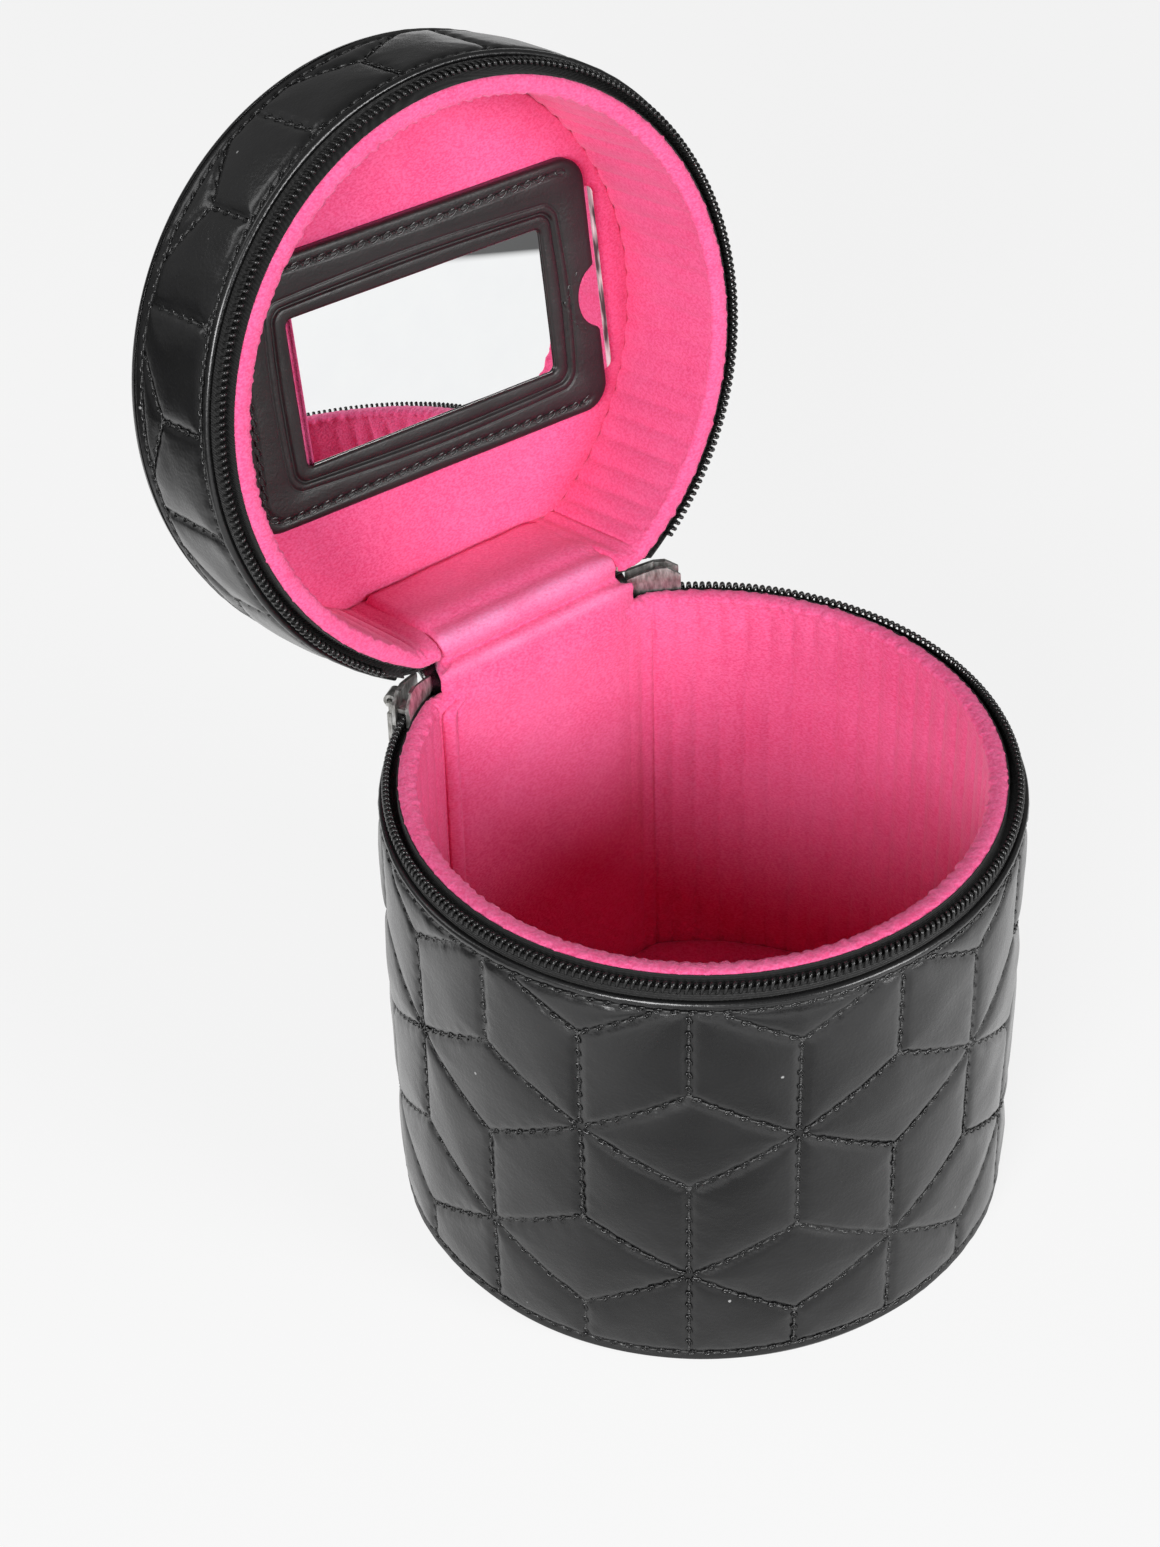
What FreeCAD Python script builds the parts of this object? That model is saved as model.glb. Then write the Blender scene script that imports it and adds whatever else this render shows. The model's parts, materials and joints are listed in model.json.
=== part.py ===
import FreeCAD, Part
import math
import os

# Round zip case in quilted leather with a straight hinge at the back, standing open.
# Frame: origin at the centre of the underside, +Z up, front at -Y, hinge at +Y. Millimetres.

# Overall sizes
case_radius = 66.0
flat_depth = 7.4
corner_radius = 12.0
base_leather_top = 101.2
lid_depth = 35.8
opening_angle = 101.37

# Wall build-up, from the outside in
cover_thickness = 2.1
board_thickness = 1.8
glue_gap = 0.2
card_thickness = 1.0
velour_thickness = 2.5
flute_pitch = 6.0
flute_bulge = 0.7
flute_flank = 1.6

# Floors and tops
bottom_cover_thickness = 1.2
bottom_board_thickness = 2.0
floor_pad_thickness = 3.4
floor_pad_crown = 1.2
floor_pad_shoulder = 18.0
top_board_thickness = 1.5
lid_pad_thickness = 2.0
lid_pad_bevel = 1.4
pad_clearance = 0.5
bottom_edge_bevel = 1.2
folded_edge_bevel = 0.7
lid_edge_round = 3.9
lid_edge_steps = 4
lid_cap_height = 4.0

# Zip
tape_thickness = 0.5
tape_depth = 13.3
coil_overhang = 0.4
coil_width = 1.8
coil_height = 2.8
tooth_depth = 2.0
tooth_pitch = 1.5
tooth_gap = 0.9
tape_above_leather = 1.1
row_gap = 1.6
zip_end_past_slider = 1.1
lining_above_leather = 3.8
card_below_lining = 1.0
board_below_leather = 0.4

# Sliders and pull tabs
slider_clearance = 0.3
slider_tail_gap = 3.97
slider_half_length = 5.9
slider_half_width = 4.4
slider_tail_half_width = 2.6
slider_mouth_half_width = 2.6
slider_shoulder = 3.0
slider_waist = 0.5
inner_plate_thickness = 1.0
inner_plate_edge = 0.45
outer_plate_thickness = 0.8
flange_width = 0.5
flange_rise = 0.35
post_start = 0.8
post_end = 4.2
bail_radius = 0.5
bail_half_length = 3.0
bail_rise = 1.9
tab_clearance = 0.3
tab_eye_wall = 0.75
tab_eye_width = 3.6
tab_width = 5.4
tab_length = 20.0
tab_corner = 1.8
tab_thickness = 1.0
tab_neck = 2.6
tab_slot_width = 2.2
tab_slot_length = 8.0
tab_slot_corner = 1.0
tab_slot_margin = 1.8

# Hinge
axis_inset = 1.35
fold_radius = 3.7
fold_gap = 0.6
hinge_half_width = 23.5
hinge_clearance = 0.3
hinge_strip_thickness = 0.8
hinge_strip_bottom = 12.0
hinge_strip_stop = 4.1
hinge_lip_height = 1.2
lid_notch_gap = 0.7
lid_notch_margin = 0.3
seam_gap = 0.2

# Quilting: rhombille lattice of sewn channels
quilt_edge = 25.5
quilt_row_height = 25.5
quilt_phase = -48.8
quilt_depth = 0.9
quilt_half_width = 1.1
quilt_overlap = 0.25
hem_margin = 2.4

# Mirror and its frame, in the lid's plane
frame_centre = (1.4, -0.5)
frame_turn = 2.5
frame_length = 92.5
frame_height = 57.7
frame_thickness = 2.4
frame_corner = 6.0
frame_edge_bevel = 0.7
window_centre = (0.7, 0.7)
window_length = 65.0
window_height = 32.5
window_corner = 1.5
emboss_margin = 4.1
emboss_width = 0.8
emboss_depth = 0.35
notch_width = 14.5
notch_depth = 5.0
notch_offset = 3.6
mirror_length = 78.5
mirror_height = 42.0
mirror_thickness = 1.3
mirror_corner = 2.0
mirror_side_clearance = 0.4
mirror_face_clearance = 0.3
mirror_proud = 2.3
mirror_return = 3.3

# Levels worked out from the sizes above
reach = 2 * (case_radius + base_leather_top)
hinge_flat = case_radius - flat_depth
board_inset = cover_thickness
slider_room = coil_overhang + inner_plate_thickness + 2 * slider_clearance
card_inset = board_inset + max(board_thickness + glue_gap, slider_room)
velour_inset = card_inset + card_thickness
lining_inset = velour_inset + velour_thickness
pad_inset = lining_inset + pad_clearance
bottom_board_base = bottom_cover_thickness
floor_level = bottom_board_base + bottom_board_thickness
coil_bottom = base_leather_top + tape_above_leather
coil_tip = coil_bottom + coil_height
parting = coil_tip + row_gap / 2
axis_back = hinge_flat - axis_inset
lid_notch_half_width = math.sqrt(case_radius ** 2 - axis_back ** 2) + lid_notch_margin
lid_top_height = parting + lid_depth
lining_top = base_leather_top + lining_above_leather
axis_height = lining_top + fold_gap + fold_radius
lid_notch_top = axis_height + fold_radius + lid_notch_gap
card_top = lining_top - card_below_lining
board_top = base_leather_top - board_below_leather
top_cover_inside = lid_top_height - cover_thickness
lid_ceiling = top_cover_inside - top_board_thickness
lid_pad_face = lid_ceiling - lid_pad_thickness
lid_band_top = lid_top_height - lid_cap_height
hinge_strip_top = lid_pad_face - hinge_strip_stop
tape_inner_radius = case_radius - cover_thickness
tape_outer_radius = tape_inner_radius + tape_thickness
coil_inner_radius = tape_inner_radius - coil_overhang
coil_outer_radius = coil_inner_radius + coil_width
coil_radius = (coil_inner_radius + coil_outer_radius) / 2
inner_plate_outside = coil_inner_radius - slider_clearance
outer_plate_inside = coil_outer_radius + slider_clearance
outer_plate_outside = outer_plate_inside + outer_plate_thickness
bail_centre = outer_plate_outside + bail_rise
slider_tail_angle = math.degrees(math.asin((hinge_half_width + slider_tail_gap) / coil_radius))
slider_rest_angle = slider_tail_angle + math.degrees(slider_half_length / coil_radius)
zip_end_angle = slider_rest_angle + math.degrees(zip_end_past_slider / coil_radius)
slider_mouth = slider_half_length + slider_clearance
lid_zip_end_angle = slider_rest_angle + math.degrees(math.asin(slider_mouth / coil_inner_radius))
up = FreeCAD.Vector(0, 0, 1)
origin = FreeCAD.Vector(0, 0, 0)


def above_parting(level):
    """Height on the closed lid that mirrors a height on the base."""
    return 2 * parting - level


def box(x_range, y_range, z_range):
    corner = FreeCAD.Vector(x_range[0], y_range[0], z_range[0])
    sides = [high - low for low, high in (x_range, y_range, z_range)]
    return Part.makeBox(sides[0], sides[1], sides[2], corner)


def corner_centre():
    """Centre of the right-hand corner arc between the round wall and the hinge flat."""
    back = hinge_flat - corner_radius
    side = math.sqrt((case_radius - corner_radius) ** 2 - back ** 2)
    return side, back


def outline(inset, level):
    """The case's plan, set in from the outer face: a circle with a flat on the hinge side."""
    side, back = corner_centre()
    turn = math.atan2(back, side)
    middle = (turn + math.pi / 2) / 2
    radius = case_radius - inset
    corner = corner_radius - inset

    def point(sign, x, y):
        return FreeCAD.Vector(sign * x, y, level)

    def on_circle(sign):
        return point(sign, radius * math.cos(turn), radius * math.sin(turn))

    def corner_arc(sign):
        bulge = point(sign, side + corner * math.cos(middle), back + corner * math.sin(middle))
        return on_circle(sign), bulge, point(sign, side, back + corner)

    right = corner_arc(1)
    left = corner_arc(-1)
    front = FreeCAD.Vector(0, -radius, level)
    edges = [
        Part.Arc(right[0], front, left[0]).toShape(),
        Part.Arc(left[0], left[1], left[2]).toShape(),
        Part.LineSegment(left[2], right[2]).toShape(),
        Part.Arc(right[2], right[1], right[0]).toShape(),
    ]
    return Part.Wire(edges)


def slab(inset, bottom, top):
    return Part.Face(outline(inset, bottom)).extrude(up * (top - bottom))


def rim_edges(shape, level):
    """Edges of a shape that lie in one horizontal plane."""
    found = []
    for edge in shape.Edges:
        limits = edge.BoundBox
        if abs(limits.ZMin - level) < 1e-4 and abs(limits.ZMax - level) < 1e-4:
            found.append(edge)
    return found


def bevelled_slab(inset, bottom, top, bottom_bevel, top_bevel):
    shape = slab(inset, bottom, top)
    if bottom_bevel:
        shape = shape.makeChamfer(bottom_bevel, rim_edges(shape, bottom))
    if top_bevel:
        shape = shape.makeChamfer(top_bevel, rim_edges(shape, top))
    return shape


def wall(outer_inset, inner_inset, bottom, top):
    return slab(outer_inset, bottom, top).cut(slab(inner_inset, bottom, top))


def arc_band(inner, outer, bottom, top, end_angle):
    """Band on the round wall that stops short of the hinge by end_angle on each side."""
    corners = [(inner, bottom), (outer, bottom), (outer, top), (inner, top), (inner, bottom)]
    face = Part.Face(Part.makePolygon([FreeCAD.Vector(0, r, z) for r, z in corners]))
    face.rotate(origin, up, end_angle)
    return face.revolve(origin, up, 360 - 2 * end_angle)


def zip_coil(end_angle):
    """One row of the zip on the base: a band cut into teeth at the coil's pitch."""
    band = arc_band(coil_inner_radius, coil_outer_radius, coil_bottom, coil_tip, end_angle)
    sweep = 360 - 2 * end_angle
    count = int(math.radians(sweep) * coil_radius / tooth_pitch)
    step = sweep / count
    root = coil_tip - tooth_depth
    spread = tooth_gap * (tooth_depth + tooth_gap) / tooth_depth / 2
    corners = [(0, root), (spread, coil_tip + tooth_gap), (-spread, coil_tip + tooth_gap), (0, root)]
    inner = coil_inner_radius - coil_width
    notch = Part.Face(Part.makePolygon([FreeCAD.Vector(x, inner, z) for x, z in corners]))
    notch = notch.extrude(FreeCAD.Vector(0, 3 * coil_width, 0))
    gaps = []
    for index in range(count):
        gap = notch.copy()
        gap.rotate(origin, up, end_angle + (index + 0.5) * step)
        gaps.append(gap)
    return band.cut(Part.makeCompound(gaps))


def zip_tape(end_angle):
    return arc_band(
        tape_inner_radius, tape_outer_radius, coil_bottom - tape_depth, coil_bottom, end_angle
    )


def flip(shape):
    """The lid's copy of a base piece, mirrored about the parting plane."""
    return shape.mirror(FreeCAD.Vector(0, 0, parting), up)


def back_strip(half_width, bottom, top):
    """Block over the hinge flat, used to divide walls from the hinge panels."""
    return box((-half_width, half_width), (corner_centre()[1], reach), (bottom, top))


def quilt_segments():
    """Edges of the rhombille lattice: six from each point where six blocks meet."""
    column = quilt_edge * math.sqrt(3)
    row = quilt_edge * 1.5
    length = 2 * math.pi * case_radius
    columns = int(length / column) + 2
    rows = int(lid_top_height / row) + 2
    segments = []
    for j in range(-rows, rows + 1):
        shift = (j % 2) * column / 2
        for i in range(-columns, columns + 1):
            start = (quilt_phase + i * column + shift, quilt_row_height + j * row)
            for turn in range(6):
                angle = math.radians(30 + 60 * turn)
                end = (start[0] + quilt_edge * math.cos(angle), start[1] + quilt_edge * math.sin(angle))
                segments.append((start, end))
    return segments


def clip(start, end, axis, low, high):
    """Part of a segment that lies between two limits on one axis, or None."""
    begin, finish = 0.0, 1.0
    change = end[axis] - start[axis]
    if abs(change) < 1e-9:
        return (start, end) if low <= start[axis] <= high else None
    first, second = sorted(((low - start[axis]) / change, (high - start[axis]) / change))
    begin = max(begin, first)
    finish = min(finish, second)
    if finish - begin < 1e-6:
        return None
    near = tuple(a + (b - a) * begin for a, b in zip(start, end))
    far = tuple(a + (b - a) * finish for a, b in zip(start, end))
    return near, far


def channel(start, end, outward):
    """V-shaped cutter along a straight run on a surface with the given outward normal."""
    along = (end - start).normalize()
    start = start - along * quilt_overlap
    run = end + along * quilt_overlap - start
    side = along.cross(outward).normalize()
    rise = quilt_depth
    spread = quilt_half_width * (quilt_depth + rise) / quilt_depth
    foot = start - outward * quilt_depth
    left = start + outward * rise + side * spread
    right = start + outward * rise - side * spread
    return Part.Face(Part.makePolygon([foot, left, right, foot])).extrude(run)


def wall_point(spot):
    """Place on the round wall of a spot given as arc length from the front and height."""
    angle = spot[0] / case_radius - math.pi / 2
    return FreeCAD.Vector(case_radius * math.cos(angle), case_radius * math.sin(angle), spot[1])


def wall_channels(left, right, low, high):
    """Quilting cutters on a stretch of the round wall, in two chords per slanting edge."""
    cutters = []
    for start, end in quilt_segments():
        run = clip(start, end, 1, low, high)
        run = run and clip(run[0], run[1], 0, left - 2 * quilt_half_width, right + 2 * quilt_half_width)
        if not run:
            continue
        chords = 1 if abs(run[1][0] - run[0][0]) < 1e-6 else 2
        marks = []
        for index in range(chords + 1):
            marks.append(tuple(a + (b - a) * index / chords for a, b in zip(run[0], run[1])))
        for near, far in zip(marks, marks[1:]):
            outward = wall_point(((near[0] + far[0]) / 2, 0)) * (1 / case_radius)
            cutters.append(channel(wall_point(near), wall_point(far), outward))
    return cutters


def wall_wedge(left, right):
    """Block that holds a stretch of the round wall, given by arc lengths from the front."""
    angle = math.degrees((right - left) / case_radius)
    wedge = Part.makeCylinder(reach, reach, origin, up, angle)
    wedge.rotate(origin, up, math.degrees(left / case_radius) - 90)
    return wedge


def quilt_wall(cover, low, high):
    """Quilts a plain cover: one repeat of the lattice is cut, then turned round the wall."""
    side, back = corner_centre()
    limit = case_radius * (math.pi / 2 + math.atan2(back, side))
    column = quilt_edge * math.sqrt(3)
    first = math.ceil((-limit - quilt_phase) / column)
    last = math.floor((limit - quilt_phase) / column)
    tile = cover.common(wall_wedge(quilt_phase, quilt_phase + column))
    tile = tile.cut(wall_channels(quilt_phase, quilt_phase + column, low, high))

    def repeat(index):
        copy = tile.copy()
        copy.rotate(origin, up, math.degrees(index * column / case_radius))
        return copy

    begin = quilt_phase + first * column
    finish = quilt_phase + last * column
    pieces = [repeat(index) for index in range(first, last)]
    if begin + limit > hem_margin:
        pieces.append(repeat(first - 1).common(wall_wedge(-limit, begin)))
        begin = -limit
    if limit - finish > hem_margin:
        pieces.append(repeat(last).common(wall_wedge(finish, limit)))
        finish = limit
    corners = cover.cut(wall_wedge(begin, finish))
    return corners.fuse(pieces)


def clip_to_circle(start, end, radius):
    """Part of a segment that lies inside a circle about the origin, or None."""
    run = (end[0] - start[0], end[1] - start[1])
    length = math.hypot(run[0], run[1])
    middle = -(start[0] * run[0] + start[1] * run[1]) / length ** 2
    nearest = math.hypot(start[0] + run[0] * middle, start[1] + run[1] * middle)
    if nearest >= radius:
        return None
    half = math.sqrt(radius ** 2 - nearest ** 2) / length
    begin = max(0.0, middle - half)
    finish = min(1.0, middle + half)
    if finish - begin < 1e-6:
        return None
    return tuple(tuple(a + b * t for a, b in zip(start, run)) for t in (begin, finish))


def top_channels():
    """Quilting cutters on the flat of the lid's top."""
    margin = lid_edge_round + quilt_half_width
    cutters = []
    for start, end in quilt_segments():
        run = clip(start, end, 1, -case_radius, hinge_flat - margin)
        run = run and clip_to_circle(run[0], run[1], case_radius - margin)
        if run:
            spots = [FreeCAD.Vector(spot[0], spot[1], lid_top_height) for spot in run]
            cutters.append(channel(spots[0], spots[1], up))
    return cutters


def fluted_outline(inset, level):
    """Inner outline of a lining: flat-topped flutes on the round wall and the flat, plain corners."""
    edges = []
    for edge in outline(inset, level).OrderedEdges:
        if isinstance(edge.Curve, Part.Circle) and edge.Curve.Radius < corner_radius:
            edges.append(edge)
            continue
        spots = edge.discretize(Number=round(edge.Length / flute_pitch) + 1)
        corners = []
        for near, far in zip(spots, spots[1:]):
            along = (far - near).normalize()
            inward = FreeCAD.Vector(-along.y, along.x, 0)
            if inward.dot(near) > 0:
                inward = inward * -1
            rise = inward * flute_bulge
            corners += [near, near + along * flute_flank + rise, far - along * flute_flank + rise]
        corners.append(spots[-1])
        edges += Part.makePolygon(corners).Edges
    return Part.Wire(edges)


def lining(bottom, top, lip_bottom):
    """Velour wall lining with flutes inside and a lip that wraps the card's free edge."""
    bore = Part.Face(fluted_outline(lining_inset, bottom)).extrude(up * (top - bottom))
    body = slab(velour_inset, bottom, top)
    lip = slab(card_inset, lip_bottom, top)
    return body.fuse(lip).removeSplitter().cut(bore)


def side_cover(bottom, top, bottom_bevel, top_bevel):
    outer = bevelled_slab(0, bottom, top, bottom_bevel, top_bevel)
    return outer.cut(slab(cover_thickness, bottom, top))


def quilted_base_cover():
    cover = side_cover(0, base_leather_top, bottom_edge_bevel, folded_edge_bevel)
    cover = cover.cut([
        zip_tape(zip_end_angle),
        back_strip(hinge_half_width + seam_gap, -1, base_leather_top + 1),
    ])
    return quilt_wall(cover, hem_margin, base_leather_top - hem_margin)


def quilted_lid_band():
    bottom = above_parting(base_leather_top)
    band = side_cover(bottom, lid_band_top, folded_edge_bevel, 0)
    band = band.cut([
        flip(zip_tape(lid_zip_end_angle)),
        back_strip(hinge_half_width + seam_gap, bottom - 1, lid_band_top + 1),
        back_strip(lid_notch_half_width, bottom - 1, lid_notch_top),
    ])
    return quilt_wall(band, bottom + hem_margin, lid_band_top)


def quilted_lid_top():
    """Cap of the lid: its edge is rounded in steps and its flat is quilted."""
    levels = [outline(0, lid_band_top)]
    for index in range(lid_edge_steps + 1):
        angle = math.pi / 2 * index / lid_edge_steps
        inset = lid_edge_round * (1 - math.cos(angle))
        levels.append(outline(inset, lid_top_height - lid_edge_round * (1 - math.sin(angle))))
    cap = Part.makeLoft(levels, True, True)
    cap = cap.cut(slab(cover_thickness, lid_band_top, top_cover_inside))
    return cap.cut(top_channels())


def fold_cylinder(radius, half_width):
    start = FreeCAD.Vector(-half_width, axis_back, axis_height)
    return Part.makeCylinder(radius, 2 * half_width, start, FreeCAD.Vector(1, 0, 0))


def base_back_panel():
    panel = side_cover(0, axis_height, bottom_edge_bevel, 0)
    panel = panel.common(back_strip(hinge_half_width, 0, axis_height - fold_radius / 2))
    return panel.cut(fold_cylinder(fold_radius, reach))


def lid_back_panel():
    bottom = axis_height + fold_radius + hinge_clearance
    return wall(0, cover_thickness, bottom, lid_band_top).common(
        back_strip(hinge_half_width, bottom, lid_band_top)
    )


def base_hinge_strip():
    """Inner leaf on the base: runs up the lining and over its top edge to the fold."""
    inner = hinge_flat - lining_inset - flute_bulge
    leaf = box(
        (-hinge_half_width, hinge_half_width),
        (inner - hinge_strip_thickness, inner),
        (hinge_strip_bottom, lining_top + hinge_lip_height),
    )
    lip = box(
        (-hinge_half_width, hinge_half_width),
        (inner, hinge_flat - cover_thickness),
        (lining_top, lining_top + hinge_lip_height),
    )
    return leaf.fuse(lip).removeSplitter().cut(fold_cylinder(fold_radius, reach))


def lid_hinge_strip():
    inner = hinge_flat - lining_inset - flute_bulge
    return box(
        (-hinge_half_width, hinge_half_width),
        (inner - hinge_strip_thickness, inner),
        (lid_notch_top, hinge_strip_top),
    )


def floor_pad():
    """Velour floor pad: its crown is a broad shoulder that rises to a flat middle."""
    inset = pad_inset + flute_bulge
    edge = floor_level + floor_pad_thickness
    rim = outline(inset, 0)
    middle = outline(inset, 0)
    middle.scale(1 - floor_pad_shoulder / (case_radius - inset))
    middle.translate(up * floor_pad_crown)
    crown = Part.makeLoft([rim, middle], True, True)
    crown.translate(up * edge)
    return slab(inset, floor_level, edge).fuse(crown).removeSplitter()


def lid_pad():
    return bevelled_slab(pad_inset + flute_bulge, lid_pad_face, lid_ceiling, lid_pad_bevel, 0)


def rounded_plate(length, height, corner, bottom, top, centre=(0, 0)):
    """Upright prism on a rectangle with rounded corners."""
    shape = box(
        (centre[0] - length / 2, centre[0] + length / 2),
        (centre[1] - height / 2, centre[1] + height / 2),
        (bottom, top),
    )
    upright = [edge for edge in shape.Edges if edge.BoundBox.ZLength > (top - bottom) / 2]
    return shape.makeFillet(corner, upright)


def in_lid_plane(shape):
    """Moves a piece drawn about the mirror frame's centre to its place on the lid's panel."""
    shape.rotate(origin, up, frame_turn)
    shape.translate(FreeCAD.Vector(frame_centre[0], frame_centre[1], 0))
    return shape


def mirror_left():
    """Left end of the mirror, which has slid out past the open right side of its frame."""
    return frame_length / 2 + mirror_proud - mirror_length


def mirror_frame():
    face = lid_pad_face - frame_thickness
    plate = rounded_plate(frame_length, frame_height, frame_corner, face, lid_pad_face)
    plate = plate.makeChamfer(frame_edge_bevel, rim_edges(plate, face))
    pocket_depth = mirror_thickness + mirror_face_clearance
    pocket = box(
        (mirror_left() - mirror_return, reach),
        (-mirror_height / 2 - mirror_side_clearance, mirror_height / 2 + mirror_side_clearance),
        (lid_pad_face - pocket_depth, lid_pad_face),
    )
    window = rounded_plate(
        window_length, window_height, window_corner, face, lid_pad_face, window_centre
    )
    line = 2 * emboss_margin
    emboss = rounded_plate(
        window_length + line + emboss_width,
        window_height + line + emboss_width,
        window_corner + emboss_margin,
        face,
        face + emboss_depth,
        window_centre,
    ).cut(rounded_plate(
        window_length + line - emboss_width,
        window_height + line - emboss_width,
        window_corner + emboss_margin - emboss_width,
        face,
        face + emboss_depth,
        window_centre,
    ))
    notch_radius = (notch_width ** 2 / 4 + notch_depth ** 2) / (2 * notch_depth)
    notch_place = FreeCAD.Vector(frame_length / 2 + notch_radius - notch_depth, notch_offset, face)
    notch = Part.makeCylinder(notch_radius, frame_thickness, notch_place)
    return in_lid_plane(plate.cut([pocket, window, emboss, notch]))


def mirror():
    back = lid_pad_face - mirror_face_clearance / 2
    middle = mirror_left() + mirror_length / 2
    plate = rounded_plate(
        mirror_length, mirror_height, mirror_corner, back - mirror_thickness, back, (middle, 0)
    )
    return in_lid_plane(plate)


def slider():
    """Zip slider, drawn on +X with its mouth towards +Y: two plates, flanges, post and bail.

    The inner plate is thickest along its middle, which gives it a ridge.
    """
    profile = [
        (-slider_half_length, slider_tail_half_width),
        (slider_waist, slider_half_width),
        (slider_shoulder, slider_half_width),
        (slider_half_length, slider_mouth_half_width),
    ]
    loop = profile + [(y, -z) for y, z in reversed(profile)]
    loop.append(loop[0])
    corners = [FreeCAD.Vector(0, y, parting + z) for y, z in loop]
    blank = Part.Face(Part.makePolygon(corners)).extrude(FreeCAD.Vector(reach, 0, 0))
    low = parting - slider_half_width
    high = parting + slider_half_width

    def shell(inner, outer, bottom, top):
        tube = Part.makeCylinder(outer, top - bottom, FreeCAD.Vector(0, 0, bottom))
        return tube.cut(Part.makeCylinder(inner, top - bottom, FreeCAD.Vector(0, 0, bottom)))

    ridge = [
        (inner_plate_outside, low),
        (inner_plate_outside, high),
        (inner_plate_outside - inner_plate_edge, high),
        (inner_plate_outside - inner_plate_thickness, parting),
        (inner_plate_outside - inner_plate_edge, low),
        (inner_plate_outside, low),
    ]
    section = Part.Face(Part.makePolygon([FreeCAD.Vector(0, r, z) for r, z in ridge]))
    inner_plate = section.revolve(origin, up, 360)
    outer_plate = shell(outer_plate_inside, outer_plate_outside, low, high)
    pieces = [inner_plate.common(blank), outer_plate.common(blank)]
    shoulder = box((0, reach), (slider_waist, slider_shoulder), (low, high))
    for bottom in (low, high - flange_width):
        rims = (
            (inner_plate_outside, inner_plate_outside + flange_rise),
            (outer_plate_inside - flange_rise, outer_plate_inside),
        )
        for near, far in rims:
            pieces.append(shell(near, far, bottom, bottom + flange_width).common(shoulder))
    post = box(
        (inner_plate_outside - inner_plate_thickness / 2, outer_plate_outside - outer_plate_thickness / 2),
        (post_start, post_end),
        (parting - row_gap / 2 + slider_clearance, parting + row_gap / 2 - slider_clearance),
    )
    pieces.append(post)
    rod = Part.makeCylinder(
        bail_radius,
        2 * bail_half_length,
        FreeCAD.Vector(bail_centre, -bail_half_length, parting),
        FreeCAD.Vector(0, 1, 0),
    )
    pieces.append(rod)
    for end in (-bail_half_length, bail_half_length - bail_radius):
        leg = box(
            (outer_plate_outside - outer_plate_thickness / 2, bail_centre),
            (end, end + bail_radius),
            (parting - bail_radius, parting + bail_radius),
        )
        pieces.append(leg)
    return pieces[0].fuse(pieces[1:]).removeSplitter()


def pull_tab():
    """Plain pull tab that hangs from the slider's bail."""
    hole = bail_radius + tab_clearance
    eye = hole + tab_eye_wall
    half = tab_eye_width / 2
    across = FreeCAD.Vector(0, 1, 0)
    ring = Part.makeCylinder(eye, tab_eye_width, FreeCAD.Vector(bail_centre, -half, parting), across)
    bore = Part.makeCylinder(hole, tab_eye_width, FreeCAD.Vector(bail_centre, -half, parting), across)
    faces = (bail_centre - tab_thickness / 2, bail_centre + tab_thickness / 2)
    neck = box(faces, (-half, half), (parting - tab_neck, parting))
    top = parting - tab_neck
    bottom = top - tab_length
    outer = box(faces, (-tab_width / 2, tab_width / 2), (bottom, top))
    ends = [edge for edge in outer.Edges if edge.BoundBox.XLength > tab_thickness / 2]
    outer = outer.makeFillet(tab_corner, [e for e in ends if e.BoundBox.ZMax < bottom + 1])
    slot_bottom = bottom + tab_slot_margin
    slot = box(faces, (-tab_slot_width / 2, tab_slot_width / 2), (slot_bottom, slot_bottom + tab_slot_length))
    slot_ends = [edge for edge in slot.Edges if edge.BoundBox.XLength > tab_thickness / 2]
    slot = slot.makeFillet(tab_slot_corner, slot_ends)
    return ring.fuse([neck, outer]).removeSplitter().cut([bore, slot])


def at_rest(shape, side):
    """Turns a piece drawn on +X with its front at +Y to the hinge end of the zip on one side."""
    placed = shape.copy()
    if side > 0:
        placed = placed.mirror(origin, FreeCAD.Vector(0, 1, 0))
    placed.rotate(origin, up, 90 - side * slider_rest_angle)
    return placed


def open_lid(shape):
    """Swings a piece of the closed lid back to the open position."""
    opened = shape.copy()
    opened.rotate(FreeCAD.Vector(0, axis_back, axis_height), FreeCAD.Vector(1, 0, 0), -opening_angle)
    return opened


def base_pieces():
    return {
        "base_quilted_cover": quilted_base_cover(),
        "base_bottom_cover": slab(cover_thickness, 0, bottom_cover_thickness),
        "base_back_panel": base_back_panel(),
        "base_bottom_board": slab(board_inset, bottom_board_base, floor_level),
        "base_wall_board": wall(board_inset, board_inset + board_thickness, floor_level, board_top),
        "base_liner_card": wall(card_inset, velour_inset, floor_level, card_top),
        "base_lining": lining(floor_level, lining_top, card_top),
        "base_floor_pad": floor_pad(),
        "base_zip_tape": zip_tape(zip_end_angle),
        "base_zip_coil": zip_coil(zip_end_angle),
        "base_hinge_strip": base_hinge_strip(),
        "hinge_fold": fold_cylinder(fold_radius, hinge_half_width),
    }


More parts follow.
